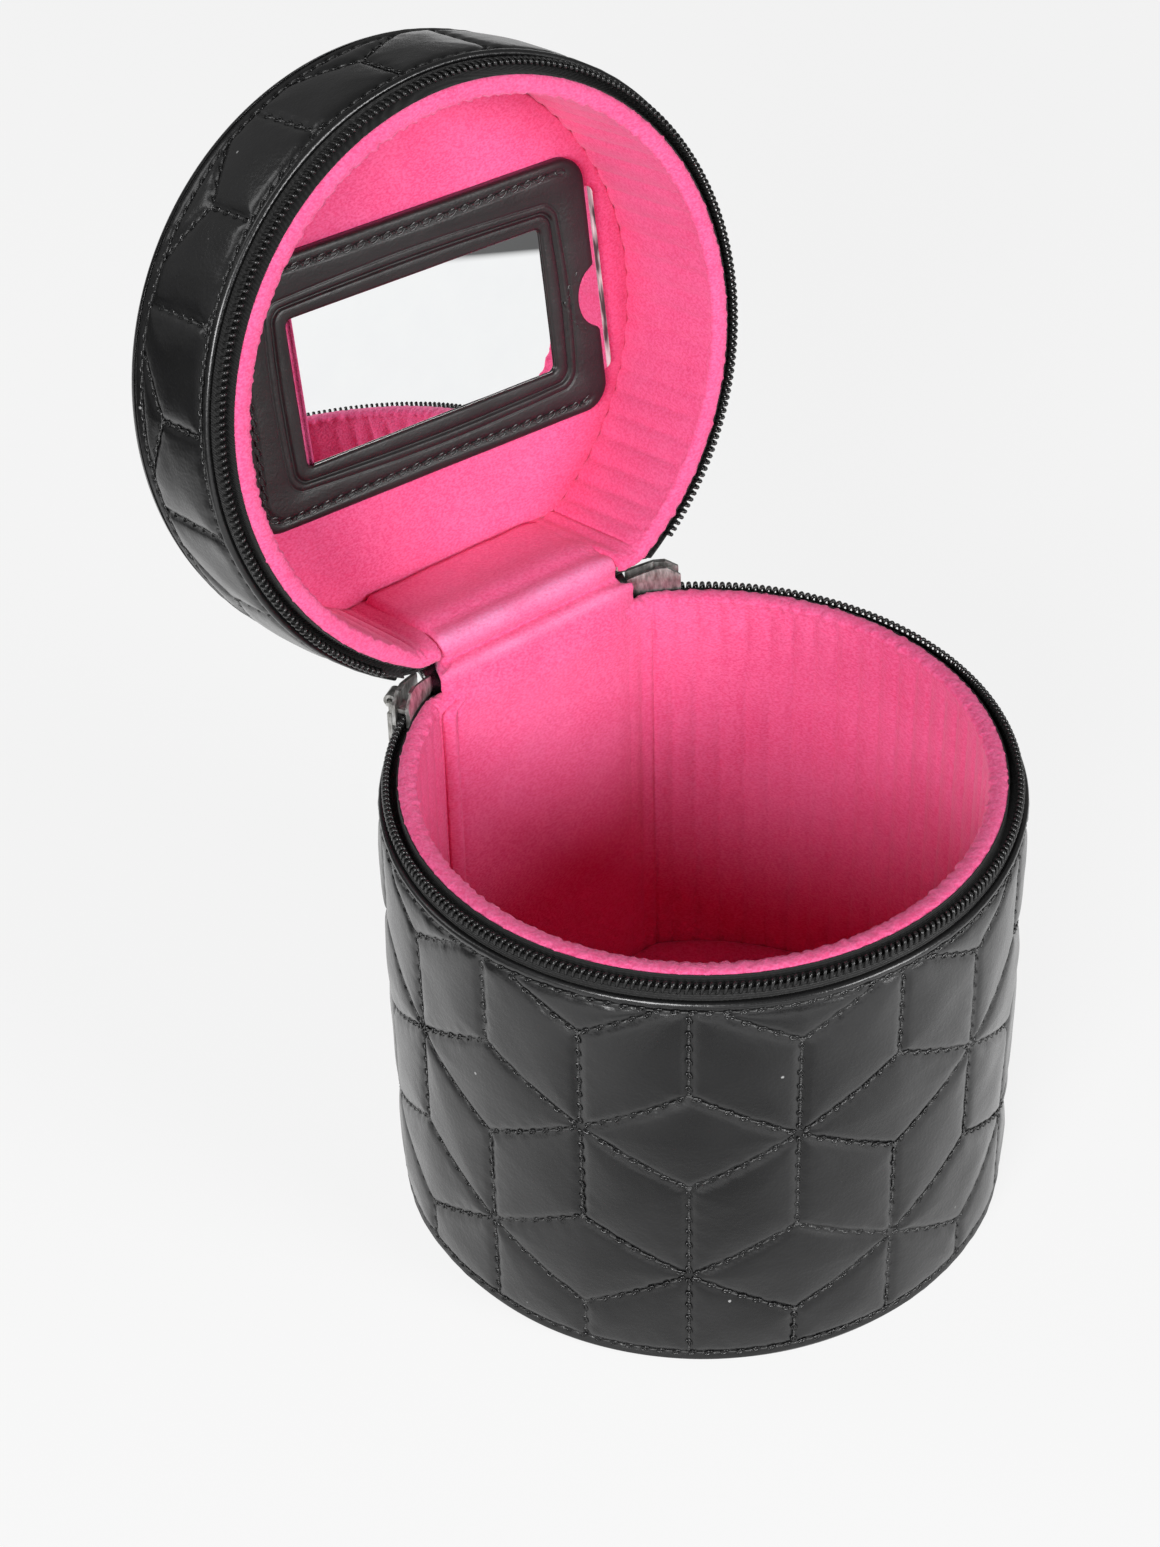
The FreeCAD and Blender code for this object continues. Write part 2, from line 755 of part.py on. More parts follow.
def lid_pieces():
    board_bottom = above_parting(board_top)
    card_bottom = above_parting(card_top)
    rim = above_parting(lining_top)
    wide_notch = back_strip(lid_notch_half_width, 0, lid_notch_top)
    narrow_notch = back_strip(hinge_half_width + seam_gap, 0, lid_notch_top)
    board = wall(board_inset, board_inset + board_thickness, board_bottom, lid_ceiling)
    card = wall(card_inset, velour_inset, card_bottom, lid_ceiling)
    velour = flip(lining(above_parting(lid_ceiling), lining_top, card_top))
    return {
        "lid_quilted_band": quilted_lid_band(),
        "lid_quilted_top": quilted_lid_top(),
        "lid_back_panel": lid_back_panel(),
        "lid_top_board": slab(board_inset, lid_ceiling, top_cover_inside),
        "lid_wall_board": board.cut(wide_notch),
        "lid_liner_card": card.cut(narrow_notch),
        "lid_lining": velour.cut(narrow_notch),
        "lid_pad": lid_pad(),
        "lid_zip_tape": flip(zip_tape(lid_zip_end_angle)),
        "lid_zip_coil": flip(zip_coil(lid_zip_end_angle)),
        "lid_hinge_strip": lid_hinge_strip(),
        "mirror_frame": mirror_frame(),
        "mirror": mirror(),
    }


def moving_hardware():
    body = slider()
    tab = pull_tab()
    return {
        "right_slider": at_rest(body, 1),
        "left_slider": at_rest(body, -1),
        "right_pull_tab": at_rest(tab, 1),
        "left_pull_tab": at_rest(tab, -1),
    }


def main():
    os.makedirs("parts", exist_ok=True)
    pieces = base_pieces()
    for name, shape in lid_pieces().items():
        pieces[name] = open_lid(shape)
    pieces.update(moving_hardware())
    for name, shape in pieces.items():
        if not shape.isValid():
            print("not valid:", name)
        print(name, len(shape.Solids), round(shape.Volume, 1))
        shape.exportStep("parts/" + name + ".step")


main()
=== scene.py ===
import json
import math

import bmesh
import bpy
import numpy as np
from mathutils import Matrix, Vector


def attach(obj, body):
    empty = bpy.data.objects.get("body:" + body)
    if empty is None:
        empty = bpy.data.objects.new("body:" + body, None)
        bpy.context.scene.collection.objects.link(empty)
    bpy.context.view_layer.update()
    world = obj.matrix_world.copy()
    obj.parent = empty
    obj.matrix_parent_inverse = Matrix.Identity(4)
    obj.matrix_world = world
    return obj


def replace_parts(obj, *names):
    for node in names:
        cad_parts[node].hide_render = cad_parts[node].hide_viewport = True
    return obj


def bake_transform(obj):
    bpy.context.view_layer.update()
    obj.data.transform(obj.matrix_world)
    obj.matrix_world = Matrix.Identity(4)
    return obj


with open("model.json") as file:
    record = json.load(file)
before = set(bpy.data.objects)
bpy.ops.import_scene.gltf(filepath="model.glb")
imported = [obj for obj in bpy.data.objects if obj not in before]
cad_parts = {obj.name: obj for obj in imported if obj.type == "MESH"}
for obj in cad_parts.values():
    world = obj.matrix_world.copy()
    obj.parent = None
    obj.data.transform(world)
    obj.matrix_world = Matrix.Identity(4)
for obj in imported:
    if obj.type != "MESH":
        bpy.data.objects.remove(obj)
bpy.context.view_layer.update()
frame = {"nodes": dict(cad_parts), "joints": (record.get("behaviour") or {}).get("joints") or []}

# A round zip case in quilted leather with a velour lining, standing open.
# Lengths are in millimetres until a mesh is made. Lid pieces are drawn shut and then swung open.
MM = 0.001


def mesh_points(mesh):
    """Vertices of a mesh, in millimetres."""
    return np.array([vertex.co for vertex in mesh.vertices]) / MM


def node_points(node):
    return mesh_points(frame["nodes"][node].data)


def joint(name):
    return next(entry for entry in frame["joints"] if entry["name"] == name)


hinge = joint("lid_hinge")
axis_y, axis_z = (value / MM for value in hinge["pos_m"][1:])
opening = math.radians(hinge["range_deg"][1] - hinge["range_deg"][0])
parting = joint("right_slider_run")["pos_m"][2] / MM


def about_hinge(points, angle):
    """Points turned about the lid's hinge line."""
    points = np.array(points, float)
    y = points[..., 1] - axis_y
    z = points[..., 2] - axis_z
    points[..., 1] = axis_y + y * math.cos(angle) - z * math.sin(angle)
    points[..., 2] = axis_z + y * math.sin(angle) + z * math.cos(angle)
    return points


def opened(points):
    return about_hinge(points, -opening)


def placed(points, body):
    """Points of a piece drawn with the case shut, moved to where its body stands at rest."""
    return opened(points) if body == "lid" else points


def placed_ways(ways, body):
    """Directions turned with their body."""
    return placed(ways, body) - placed(np.zeros((1, 3)), body)


def shut_points(node):
    """Vertices of a CAD node with the lid shut."""
    points = node_points(node)
    return about_hinge(points, opening) if node.startswith(("lid", "mirror")) else points


def span(node, axis):
    """Lowest and highest value of a CAD node on one axis, with the lid shut."""
    points = shut_points(node)
    return points[:, axis].min(), points[:, axis].max()


# Sizes taken from the frame
case_radius = span("base_quilted_cover", 0)[1]
base_height = span("base_quilted_cover", 2)[1]
hinge_flat = span("base_back_panel", 1)[1]
hinge_half = span("base_hinge_strip", 0)[1]
lining_top = span("base_lining", 2)[1]
floor_low, floor_high = span("base_floor_pad", 2)
coil_low, coil_tip = span("base_zip_coil", 2)
lid_edge, band_top = span("lid_quilted_band", 2)
lid_top = span("lid_quilted_top", 2)[1]
pad_face, lid_ceiling = span("lid_pad", 2)
lid_rim = 2 * parting - lining_top
notch_half = math.sqrt(case_radius ** 2 - axis_y ** 2) + 0.3
notch_top = span("lid_hinge_strip", 2)[0]

# Plan of the case: a round wall, two corners and a flat at the hinge
corner_radius = 12.0
corner_y = hinge_flat - corner_radius
corner_x = math.sqrt((case_radius - corner_radius) ** 2 - corner_y ** 2)
round_end = math.pi / 2 + math.atan2(corner_y, corner_x)
round_length = case_radius * round_end
corner_length = corner_radius * (math.pi - round_end)
half_length = round_length + corner_length + corner_x


def plan(s):
    """Place and outward normal on the outline at arc length s from the front, + to the right."""
    a = np.abs(s)
    side = np.where(np.asarray(s) < 0, -1.0, 1.0)
    angle = np.minimum(a / case_radius, round_end)
    angle = angle + np.clip((a - round_length) / corner_radius, 0, math.pi - round_end)
    nx, ny = np.sin(angle), -np.cos(angle)
    straight = np.maximum(a - round_length - corner_length, 0)
    on_round = a <= round_length
    x = np.where(on_round, case_radius * nx, corner_x + corner_radius * nx - straight)
    y = np.where(on_round, case_radius * ny, corner_y + corner_radius * ny)
    return side * x, y, side * nx, ny


def wall(s, z, out):
    """Points on the wall at arc length s and height z, moved outwards from the outline."""
    x, y, nx, ny = plan(s)
    return np.stack(np.broadcast_arrays(x + nx * out, y + ny * out, z), axis=-1).astype(float)


def arc_at(x):
    """Arc length where the right-hand side of the back reaches a given x."""
    s = np.linspace(round_length * 0.7, half_length, 2000)
    return float(np.interp(-x, -plan(s)[0], s))


def unit(ways):
    return ways / np.linalg.norm(ways, axis=1, keepdims=True)


def smooth_step(value, low, high):
    t = np.clip((value - low) / (high - low), 0, 1)
    return t * t * (3 - 2 * t)


def ripple(p, q, length, seed):
    """Smooth uneven waves of about a given length, mostly between -1 and 1."""
    rng = np.random.default_rng(seed)
    total = 0.0
    for turn, phase, stretch in zip(*(rng.uniform(0, 1, 8) for _ in range(3))):
        k = 2 * math.pi / (length * (0.7 + 0.7 * stretch))
        total = total + np.sin(k * (p * math.cos(7 * turn) + q * math.sin(7 * turn)) + 7 * phase)
    return total / 4


# Mesh building


def add_object(name, data):
    piece = bpy.data.objects.new(name, data)
    bpy.context.scene.collection.objects.link(piece)
    return piece


def make_object(name, points, faces, material):
    mesh = bpy.data.meshes.new(name)
    mesh.from_pydata((np.asarray(points).reshape(-1, 3) * MM).tolist(), [], faces)
    work = bmesh.new()
    work.from_mesh(mesh)
    bmesh.ops.recalc_face_normals(work, faces=work.faces)
    work.to_mesh(mesh)
    work.free()
    mesh.shade_smooth()
    mesh.materials.append(material)
    return add_object(name, mesh)


def skin(rows, columns, loop_rows=False, first=0):
    """Faces on rows of points that each form a loop. The end rows are capped, or joined in a ring."""
    i = np.arange(rows if loop_rows else rows - 1)[:, None]
    j = np.arange(columns)[None, :]
    next_i = (i + 1) % rows
    next_j = (j + 1) % columns
    corners = (i * columns + j, next_i * columns + j, next_i * columns + next_j, i * columns + next_j)
    faces = (np.stack(np.broadcast_arrays(*corners), axis=-1).reshape(-1, 4) + first).tolist()
    if not loop_rows:
        last = first + (rows - 1) * columns
        faces += [list(range(start, start + columns)) for start in (first, last)]
    return faces


def loft(name, grid, material, loop_rows=False):
    """Closed skin on a grid of points."""
    return make_object(name, grid, skin(*grid.shape[:2], loop_rows), material)


def tube(name, path, across, radius, material, sides=6):
    """Tube along a path. across holds, for each point, a direction off the path."""
    along = unit(np.gradient(path, axis=0))
    side = unit(across - along * (across * along).sum(axis=1, keepdims=True))
    other = np.cross(along, side)
    turn = np.arange(sides) * 2 * math.pi / sides
    ring = side[:, None] * np.cos(turn)[None, :, None] + other[:, None] * np.sin(turn)[None, :, None]
    grid = path[:, None] + ring * np.asarray(radius)[:, None, None]
    return loft(name, grid, material)


def smooth_path(points, step):
    """Smooth line through given points at about an even step. Long straight runs stay straight."""
    points = np.array(points, float)
    dense = [points[:1]]
    for a, b in zip(points, points[1:]):
        count = max(1, int(np.linalg.norm(b - a) / 5))
        dense.append(a + (b - a) * np.linspace(0, 1, count + 1)[1:, None])
    points = np.vstack(dense)
    gap = np.linalg.norm(np.diff(points, axis=0), axis=1)[:, None]
    slope = np.diff(points, axis=0) / gap
    turning = (slope[:-1] * gap[1:] + slope[1:] * gap[:-1]) / (gap[:-1] + gap[1:])
    tangent = np.vstack([slope[:1], turning, slope[-1:]])
    found = []
    for a, b, leave, reach, h in zip(points, points[1:], tangent, tangent[1:], gap):
        t = np.linspace(0, 1, max(2, int(h[0] / step)), endpoint=False)[:, None]
        bend = leave * t * (1 - t) ** 2 - reach * t ** 2 * (1 - t)
        found.append(a * (1 + 2 * t) * (1 - t) ** 2 + b * t ** 2 * (3 - 2 * t) + h * bend)
    found.append(points[-1:])
    return np.vstack(found)


# Quilting: rhombille lattice of sewn lines, in arc length and height on walls, in x and y on top
quilt_edge = 25.5
quilt_column = quilt_edge * math.sqrt(3)
quilt_row = quilt_edge * 1.5
quilt_phase = (-48.8, 25.5)
quilt_turns = [math.radians(30 + 60 * k) for k in range(6)]
crown_height = 0.85
crown_reach = 4.2
groove_depth = 0.5
groove_half = 0.95
stitch_pitch = 3.3
stitch_lift = 0.22
hem = 2.4


def seam_distance(p, q):
    """Distance from each spot to the nearest sewn line of the lattice."""
    best = np.full(np.broadcast(p, q).shape, 1e9)
    nearest_row = np.round((q - quilt_phase[1]) / quilt_row)
    for dj in (-1, 0, 1):
        j = nearest_row + dj
        start = quilt_phase[0] + np.mod(j, 2) * quilt_column / 2
        nearest = np.round((p - start) / quilt_column)
        v = q - quilt_phase[1] - j * quilt_row
        for di in (-1, 0, 1):
            u = p - start - (nearest + di) * quilt_column
            for turn in quilt_turns:
                run = np.clip(u * math.cos(turn) + v * math.sin(turn), 0, quilt_edge)
                best = np.minimum(best, np.hypot(u - run * math.cos(turn), v - run * math.sin(turn)))
    return best


def seam_stitches(p_limit, q_low, q_high):
    """Middles and directions of the stitches on the lattice lines that cross a field."""
    count = int(quilt_edge / stitch_pitch)
    runs = (np.arange(count) + 0.5) * quilt_edge / count
    spots, ways = [], []
    columns = int(p_limit / quilt_column) + 3
    lowest, highest = (int((q - quilt_phase[1]) / quilt_row) for q in (q_low, q_high))
    for j in range(lowest - 2, highest + 3):
        start = quilt_phase[0] + (j % 2) * quilt_column / 2
        for i in range(-columns, columns + 1):
            point = np.array([start + i * quilt_column, quilt_phase[1] + j * quilt_row])
            for turn in quilt_turns:
                way = np.array([math.cos(turn), math.sin(turn)])
                spots.append(point + runs[:, None] * way)
                ways.append(np.repeat(way[None], count, axis=0))
    return np.vstack(spots), np.vstack(ways)


def pillow(distance):
    """Puffed leather: a sewn groove that rises to a soft crown."""
    crown = crown_height * (1 - np.exp(-distance / crown_reach))
    return crown - groove_depth * np.exp(-(distance / groove_half) ** 2)


def puckers(p, q, distance):
    """Small gathers that a seam pulls into the leather, and slow unevenness of the padding."""
    gather = 0.1 * np.exp(-distance / 2.4) * ripple(p, q, 4.2, 3)
    return gather + 0.16 * ripple(p, q, 17.0, 5) * (1 - np.exp(-distance / 3))


def stitches(name, middles, ways, normals, body, dip, size, material):
    """One mesh of sewing stitches: slanted pits with a raised lip, and the thread from pit to pit.

    The middles lie on the bottom of the sewn groove. dip(w) is the leather's height above it at a
    distance w. Rings hold half length, half width and lift of a pit, or place and radius of the thread.
    """
    pit_rings = ((1.15, 0.68, -0.34), (0.95, 0.5, 0.14), (0.72, 0.31, -0.03), (0.45, 0.16, -0.3))
    thread_rings = ((0.75, 0.12), (1.1, 0.24), (2.2, 0.24), (2.55, 0.12))
    across = np.cross(normals, ways)
    sides = 8
    turn = np.arange(sides) * 2 * math.pi / sides
    slant = math.radians(22)
    rings = []
    for length, width, lift in pit_rings:
        u = size * (length * np.cos(turn) * math.cos(slant) - width * np.sin(turn) * math.sin(slant))
        v = size * (length * np.cos(turn) * math.sin(slant) + width * np.sin(turn) * math.cos(slant))
        rings.append(np.stack([u, v, dip(np.abs(v)) + size * lift], axis=1))
    pit = np.vstack(rings)
    # Faces take leather, the needle hole's painted shade, or thread.
    looks = [0] * (2 * sides) + [1] * sides + [0, 1]
    round_thread = np.arange(4) * math.pi / 2
    for reach, radius in thread_rings:
        v = size * radius * np.cos(round_thread)
        h = size * (radius * np.sin(round_thread) + (0.02 if radius > 0.2 else -0.2))
        pit = np.vstack([pit, np.stack([np.full(4, reach), v, h], axis=1)])
    faces = skin(4, sides) + skin(4, 4, first=4 * sides)
    looks += [2] * 14
    axes = np.stack([ways, across, normals], axis=1)
    points = middles[:, None] + np.einsum("pk,nkc->npc", pit, axes)
    every = [[corner + k * len(pit) for corner in face] for k in range(len(middles)) for face in faces]
    piece = make_object(name, points, every, BLACK_LEATHER)
    piece.data.materials.append(NEEDLE_HOLE_SHADE)
    piece.data.materials.append(material)
    piece.data.polygons.foreach_set("material_index", np.tile(looks, len(middles)).astype(np.int32))
    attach(piece, body)


def seam_dip(w):
    return pillow(w) - pillow(np.zeros(1))


# Materials

MIRROR_LEAN = (math.radians(3.0), 0.0, math.radians(-2.0))


def grey(tone):
    return (tone, tone, tone, 1)


class Graph:
    """A material's node tree with its principled shader."""

    def __init__(self, name, **sockets):
        self.material = bpy.data.materials.new(name)
        self.material.use_nodes = True
        self.nodes = self.material.node_tree.nodes
        self.links = self.material.node_tree.links
        self.shader = self.nodes["Principled BSDF"]
        self.place = self.add("ShaderNodeTexCoord").outputs["Object"]
        for socket, value in sockets.items():
            self.shader.inputs[socket.replace("_", " ")].default_value = value

    def add(self, kind, inputs=None, **settings):
        node = self.nodes.new(kind)
        for key, value in settings.items():
            setattr(node, key, value)
        for key, value in (inputs or {}).items():
            if isinstance(value, bpy.types.NodeSocket):
                self.links.new(value, node.inputs[key])
            else:
                node.inputs[key].default_value = value
        return node

    def scaled(self, factors):
        node = self.add("ShaderNodeVectorMath", {0: self.place, 1: factors}, operation="MULTIPLY")
        return node.outputs[0]

    def along(self, way):
        """How far a place lies along a direction."""
        node = self.add("ShaderNodeVectorMath", {0: self.place, 1: way}, operation="DOT_PRODUCT")
        return node.outputs["Value"]

    def noise(self, scale, detail=3.0, place=None):
        inputs = {"Vector": place or self.place, "Scale": scale, "Detail": detail, "Roughness": 0.55}
        return self.add("ShaderNodeTexNoise", inputs).outputs["Fac"]

    def cells(self, scale, feature="F1", place=None):
        inputs = {"Vector": place or self.place, "Scale": scale}
        return self.add("ShaderNodeTexVoronoi", inputs, feature=feature).outputs["Distance"]

    def waves(self, scale, distortion, direction):
        inputs = {"Vector": self.place, "Scale": scale, "Distortion": distortion}
        return self.add("ShaderNodeTexWave", inputs, bands_direction=direction).outputs["Fac"]

    def ramp(self, value, low, high, start, end):
        """Maps a value to a range, clamped at both ends."""
        inputs = {"Value": value, "From Min": low, "From Max": high, "To Min": start, "To Max": end}
        return self.add("ShaderNodeMapRange", inputs).outputs["Result"]

    def math(self, operation, first, second):
        return self.add("ShaderNodeMath", {0: first, 1: second}, operation=operation).outputs[0]

    def mix(self, factor, first, second):
        node = self.add("ShaderNodeMix", {0: factor, 6: first, 7: second}, data_type="RGBA")
        return node.outputs[2]

    def bump(self, height, distance, strength=1.0, under=None):
        inputs = {"Height": height, "Distance": distance * MM, "Strength": strength}
        if under:
            inputs["Normal"] = under
        return self.add("ShaderNodeBump", inputs).outputs["Normal"]

    def set(self, socket, value):
        self.links.new(value, self.shader.inputs[socket])


def leather(name, tone, roughness, grain_size, grain_depth, specular, coat, dust=0.0):
    """Coated leather: pebbled grain, fine creases, uneven gloss and a few dust specks."""
    graph = Graph(name, Specular_IOR_Level=specular, Coat_Weight=coat, Coat_Roughness=0.16)
    stray = graph.add("ShaderNodeTexNoise", {"Vector": graph.place, "Scale": 900.0}).outputs["Color"]
    bend = {0: stray, 1: (0.4 * MM,) * 3, 2: graph.place}
    warped = graph.add("ShaderNodeVectorMath", bend, operation="MULTIPLY_ADD").outputs[0]
    grain = graph.cells(1 / (grain_size * MM), "SMOOTH_F1", warped)
    pores = graph.noise(2.2 / (grain_size * MM), 2.0)
    creases = graph.noise(260.0, 4.0, graph.scaled((1.0, 1.0, 1.7)))
    patches = graph.noise(45.0, 2.0)
    colour = graph.mix(graph.ramp(patches, 0.3, 0.7, 0.0, 1.0), tone[0], tone[1])
    if dust:
        speck = graph.cells(130.0)
        shown = graph.ramp(speck, 0.028, 0.05, dust, 0.0)
        sparse = graph.ramp(graph.noise(60.0, 1.0), 0.5, 0.56, 0.0, 1.0)
        colour = graph.mix(graph.math("MULTIPLY", shown, sparse), colour, grey(0.42))
    graph.set("Base Color", colour)
    patchy = graph.ramp(patches, 0.3, 0.7, -0.05, 0.05)
    gloss = graph.math("ADD", patchy, graph.ramp(pores, 0.3, 0.7, -0.04, 0.06))
    graph.set("Roughness", graph.math("ADD", gloss, roughness))
    normal = graph.bump(creases, 0.16, 0.5)
    normal = graph.bump(grain, grain_depth, 0.6, normal)
    graph.set("Normal", graph.bump(pores, grain_depth * 0.5, 0.5, normal))
    return graph.material


def velour(name, bright, deep, crush_and_highlight):
    """Short-pile velour: fine fibres, brushed patches, a soft sheen, and a painted highlight on crushed pile
    where marked.
    """
    graph = Graph(name, Roughness=0.95, Specular_IOR_Level=0.15, Sheen_Weight=0.35, Sheen_Roughness=0.55)
    graph.shader.inputs["Sheen Tint"].default_value = (1.0, 0.55, 0.75, 1)
    fibres = graph.noise(2600.0, 3.0, graph.scaled((0.5, 0.5, 1.0)))
    tufts = graph.noise(2500.0, 2.0, graph.scaled((0.6, 0.6, 1.0)))
    brushed = graph.noise(70.0, 3.0)
    nap = graph.ramp(tufts, 0.38, 0.62, 0.0, 0.7)
    mottled = graph.math("ADD", nap, graph.ramp(brushed, 0.3, 0.7, 0.0, 0.3))
    # Painted highlight: the pile is paler where the mesh marks it, on the hinge fold's ridges that catch the
    # light. Partly this is crushed pile.
    highlight_share = graph.add("ShaderNodeAttribute", attribute_name="pile_crush_and_highlight").outputs["Fac"]
    highlight_share = graph.math("MULTIPLY", highlight_share, graph.ramp(fibres, 0.3, 0.6, 0.45, 1.0))
    graph.set("Base Color", graph.mix(highlight_share, graph.mix(mottled, deep, bright), crush_and_highlight))
    normal = graph.bump(tufts, 0.3, 0.6)
    graph.set("Normal", graph.bump(fibres, 0.18, 0.7, normal))
    return graph.material


def woven_tape():
    """Black zip tape: fine herringbone ribs."""
    graph = Graph("black_tape_weave", Roughness=0.75, Specular_IOR_Level=0.3, Sheen_Weight=0.15)
    ribs = graph.waves(520.0, 2.0, "Z")
    threads = graph.noise(2400.0, 2.0)
    both = graph.math("MULTIPLY", ribs, threads)
    graph.set("Base Color", graph.mix(both, grey(0.006), grey(0.03)))
    graph.set("Normal", graph.bump(both, 0.25, 0.8))
    return graph.material


def moulded_nylon():
    """Zip filament: black nylon with streaks in its gloss."""
    graph = Graph("black_nylon_filament", Specular_IOR_Level=0.55)
    streaks = graph.noise(1500.0, 2.0)
    graph.set("Base Color", graph.mix(streaks, grey(0.006), grey(0.02)))
    graph.set("Roughness", graph.ramp(streaks, 0.3, 0.7, 0.16, 0.34))
    return graph.material


def thread(name, dark, pale):
    """Twisted sewing thread."""
    graph = Graph(name, Specular_IOR_Level=0.5, Sheen_Weight=0.1)
    twist = graph.waves(900.0, 1.5, "DIAGONAL")
    graph.set("Base Color", graph.mix(twist, grey(dark), grey(pale)))
    graph.set("Roughness", graph.ramp(twist, 0.0, 1.0, 0.28, 0.42))
    graph.set("Normal", graph.bump(twist, 0.08, 0.7))
    return graph.material


def nickel():
    """Plated slider metal with fine scuffs and dull spots."""
    graph = Graph("nickel_plate", Metallic=0.85)
    scuffs = graph.noise(1100.0, 5.0, graph.scaled((1.0, 1.0, 0.35)))
    dull = graph.noise(420.0, 3.0)
    shine = graph.ramp(scuffs, 0.36, 0.64, 0.0, 1.0)
    graph.set("Base Color", graph.mix(shine, (0.27, 0.265, 0.25, 1), (0.6, 0.595, 0.58, 1)))
    spots = graph.ramp(dull, 0.3, 0.7, 0.32, 0.46)
    graph.set("Roughness", graph.math("ADD", spots, graph.ramp(scuffs, 0.4, 0.7, 0.0, 0.1)))
    graph.set("Normal", graph.bump(scuffs, 0.03, 0.4))
    return graph.material


def mirror_glass():
    """Silvered glass with a ground strip along its right-hand edge. It leans a little in its frame."""
    graph = Graph("silvered_mirror")
    way = Vector(joint("mirror_slide")["axis"]).normalized()
    end = (node_points("mirror") @ np.array(way)).max() * MM
    ground = graph.ramp(graph.along(way), end - 1.35 * MM, end - 1.2 * MM, 0.0, 1.0)
    streaks = graph.noise(700.0, 2.0, graph.scaled((1.0, 0.3, 0.15)))
    haze = graph.noise(120.0, 3.0)
    silver = graph.mix(haze, (0.90, 0.91, 0.92, 1), (0.94, 0.95, 0.95, 1))
    scored = graph.ramp(streaks, 0.38, 0.62, 0.0, 1.0)
    edge = graph.mix(scored, grey(0.05), (0.75, 0.77, 0.76, 1))
    graph.set("Base Color", graph.mix(ground, silver, edge))
    graph.set("Metallic", graph.ramp(ground, 0.0, 1.0, 1.0, 0.0))
    blur = graph.ramp(haze, 0.4, 0.8, 0.0, 0.015)
    graph.set("Roughness", graph.math("MAXIMUM", blur, graph.math("MULTIPLY", ground, 0.3)))
    lean = {"Vector": graph.add("ShaderNodeNewGeometry").outputs["Normal"], "Rotation": MIRROR_LEAN}
    graph.set("Normal", graph.add("ShaderNodeVectorRotate", lean, rotation_type="EULER_XYZ").outputs[0])
    return graph.material


def grey_board():
    """Pulp board and card."""
    graph = Graph("grey_board_pulp", Roughness=0.9, Specular_IOR_Level=0.2)
    pulp = graph.noise(500.0, 5.0)
    graph.set("Base Color", graph.mix(pulp, (0.33, 0.31, 0.28, 1), (0.5, 0.47, 0.42, 1)))
    graph.set("Normal", graph.bump(pulp, 0.1, 0.5))
    return graph.material


BLACK_LEATHER = leather(
    "black_leather_grain", ((0.004, 0.004, 0.0043, 1), (0.009, 0.009, 0.0094, 1)),
    roughness=0.31, grain_size=0.75, grain_depth=0.07, specular=0.6, coat=0.3, dust=0.9,
)
FRAME_LEATHER = leather(
    "frame_leather_grain", ((0.008, 0.0077, 0.0077, 1), (0.014, 0.0135, 0.0135, 1)),
    roughness=0.42, grain_size=0.5, grain_depth=0.06, specular=0.4, coat=0.12,
)
PINK_VELOUR = velour(
    "pink_velour_pile",
    bright=(0.97, 0.17, 0.39, 1), deep=(0.86, 0.075, 0.235, 1), crush_and_highlight=(0.95, 0.33, 0.6, 1),
)
BLACK_TAPE = woven_tape()
BLACK_NYLON = moulded_nylon()
# Painted highlight: the black quilt thread is coloured dark grey, so the stitches read as light dashes where
# they catch the light.
QUILT_THREAD = thread("quilt_thread_lightened_for_highlight", 0.03, 0.09)
FRAME_THREAD = thread("black_frame_thread", 0.003, 0.012)
# Painted shade: the near-black, unreflecting core of each needle hole stands in for the shade deep in the
# hole.
NEEDLE_HOLE_SHADE = Graph(
    "needle_hole_shade", Base_Color=grey(0.002), Roughness=1.0, Specular_IOR_Level=0.0,
).material
NICKEL = nickel()
MIRROR = mirror_glass()
BOARD = grey_board()


# Leather covers

fold_depth = 1.5
back_arc = half_length - hinge_half - 0.2
notch_arc = arc_at(notch_half)
wall_step = 0.75


def cover_relief(s, z, t, height):
    """Height of the quilted leather at a distance t from the zip edge."""
    to_hem = np.minimum(np.abs(t - hem), np.abs(height - hem - t))
    quilted = (t > hem) & (t < height - hem)
    distance = np.where(quilted, np.minimum(seam_distance(s, z), to_hem), to_hem)
    return pillow(distance) + puckers(s, z, distance)


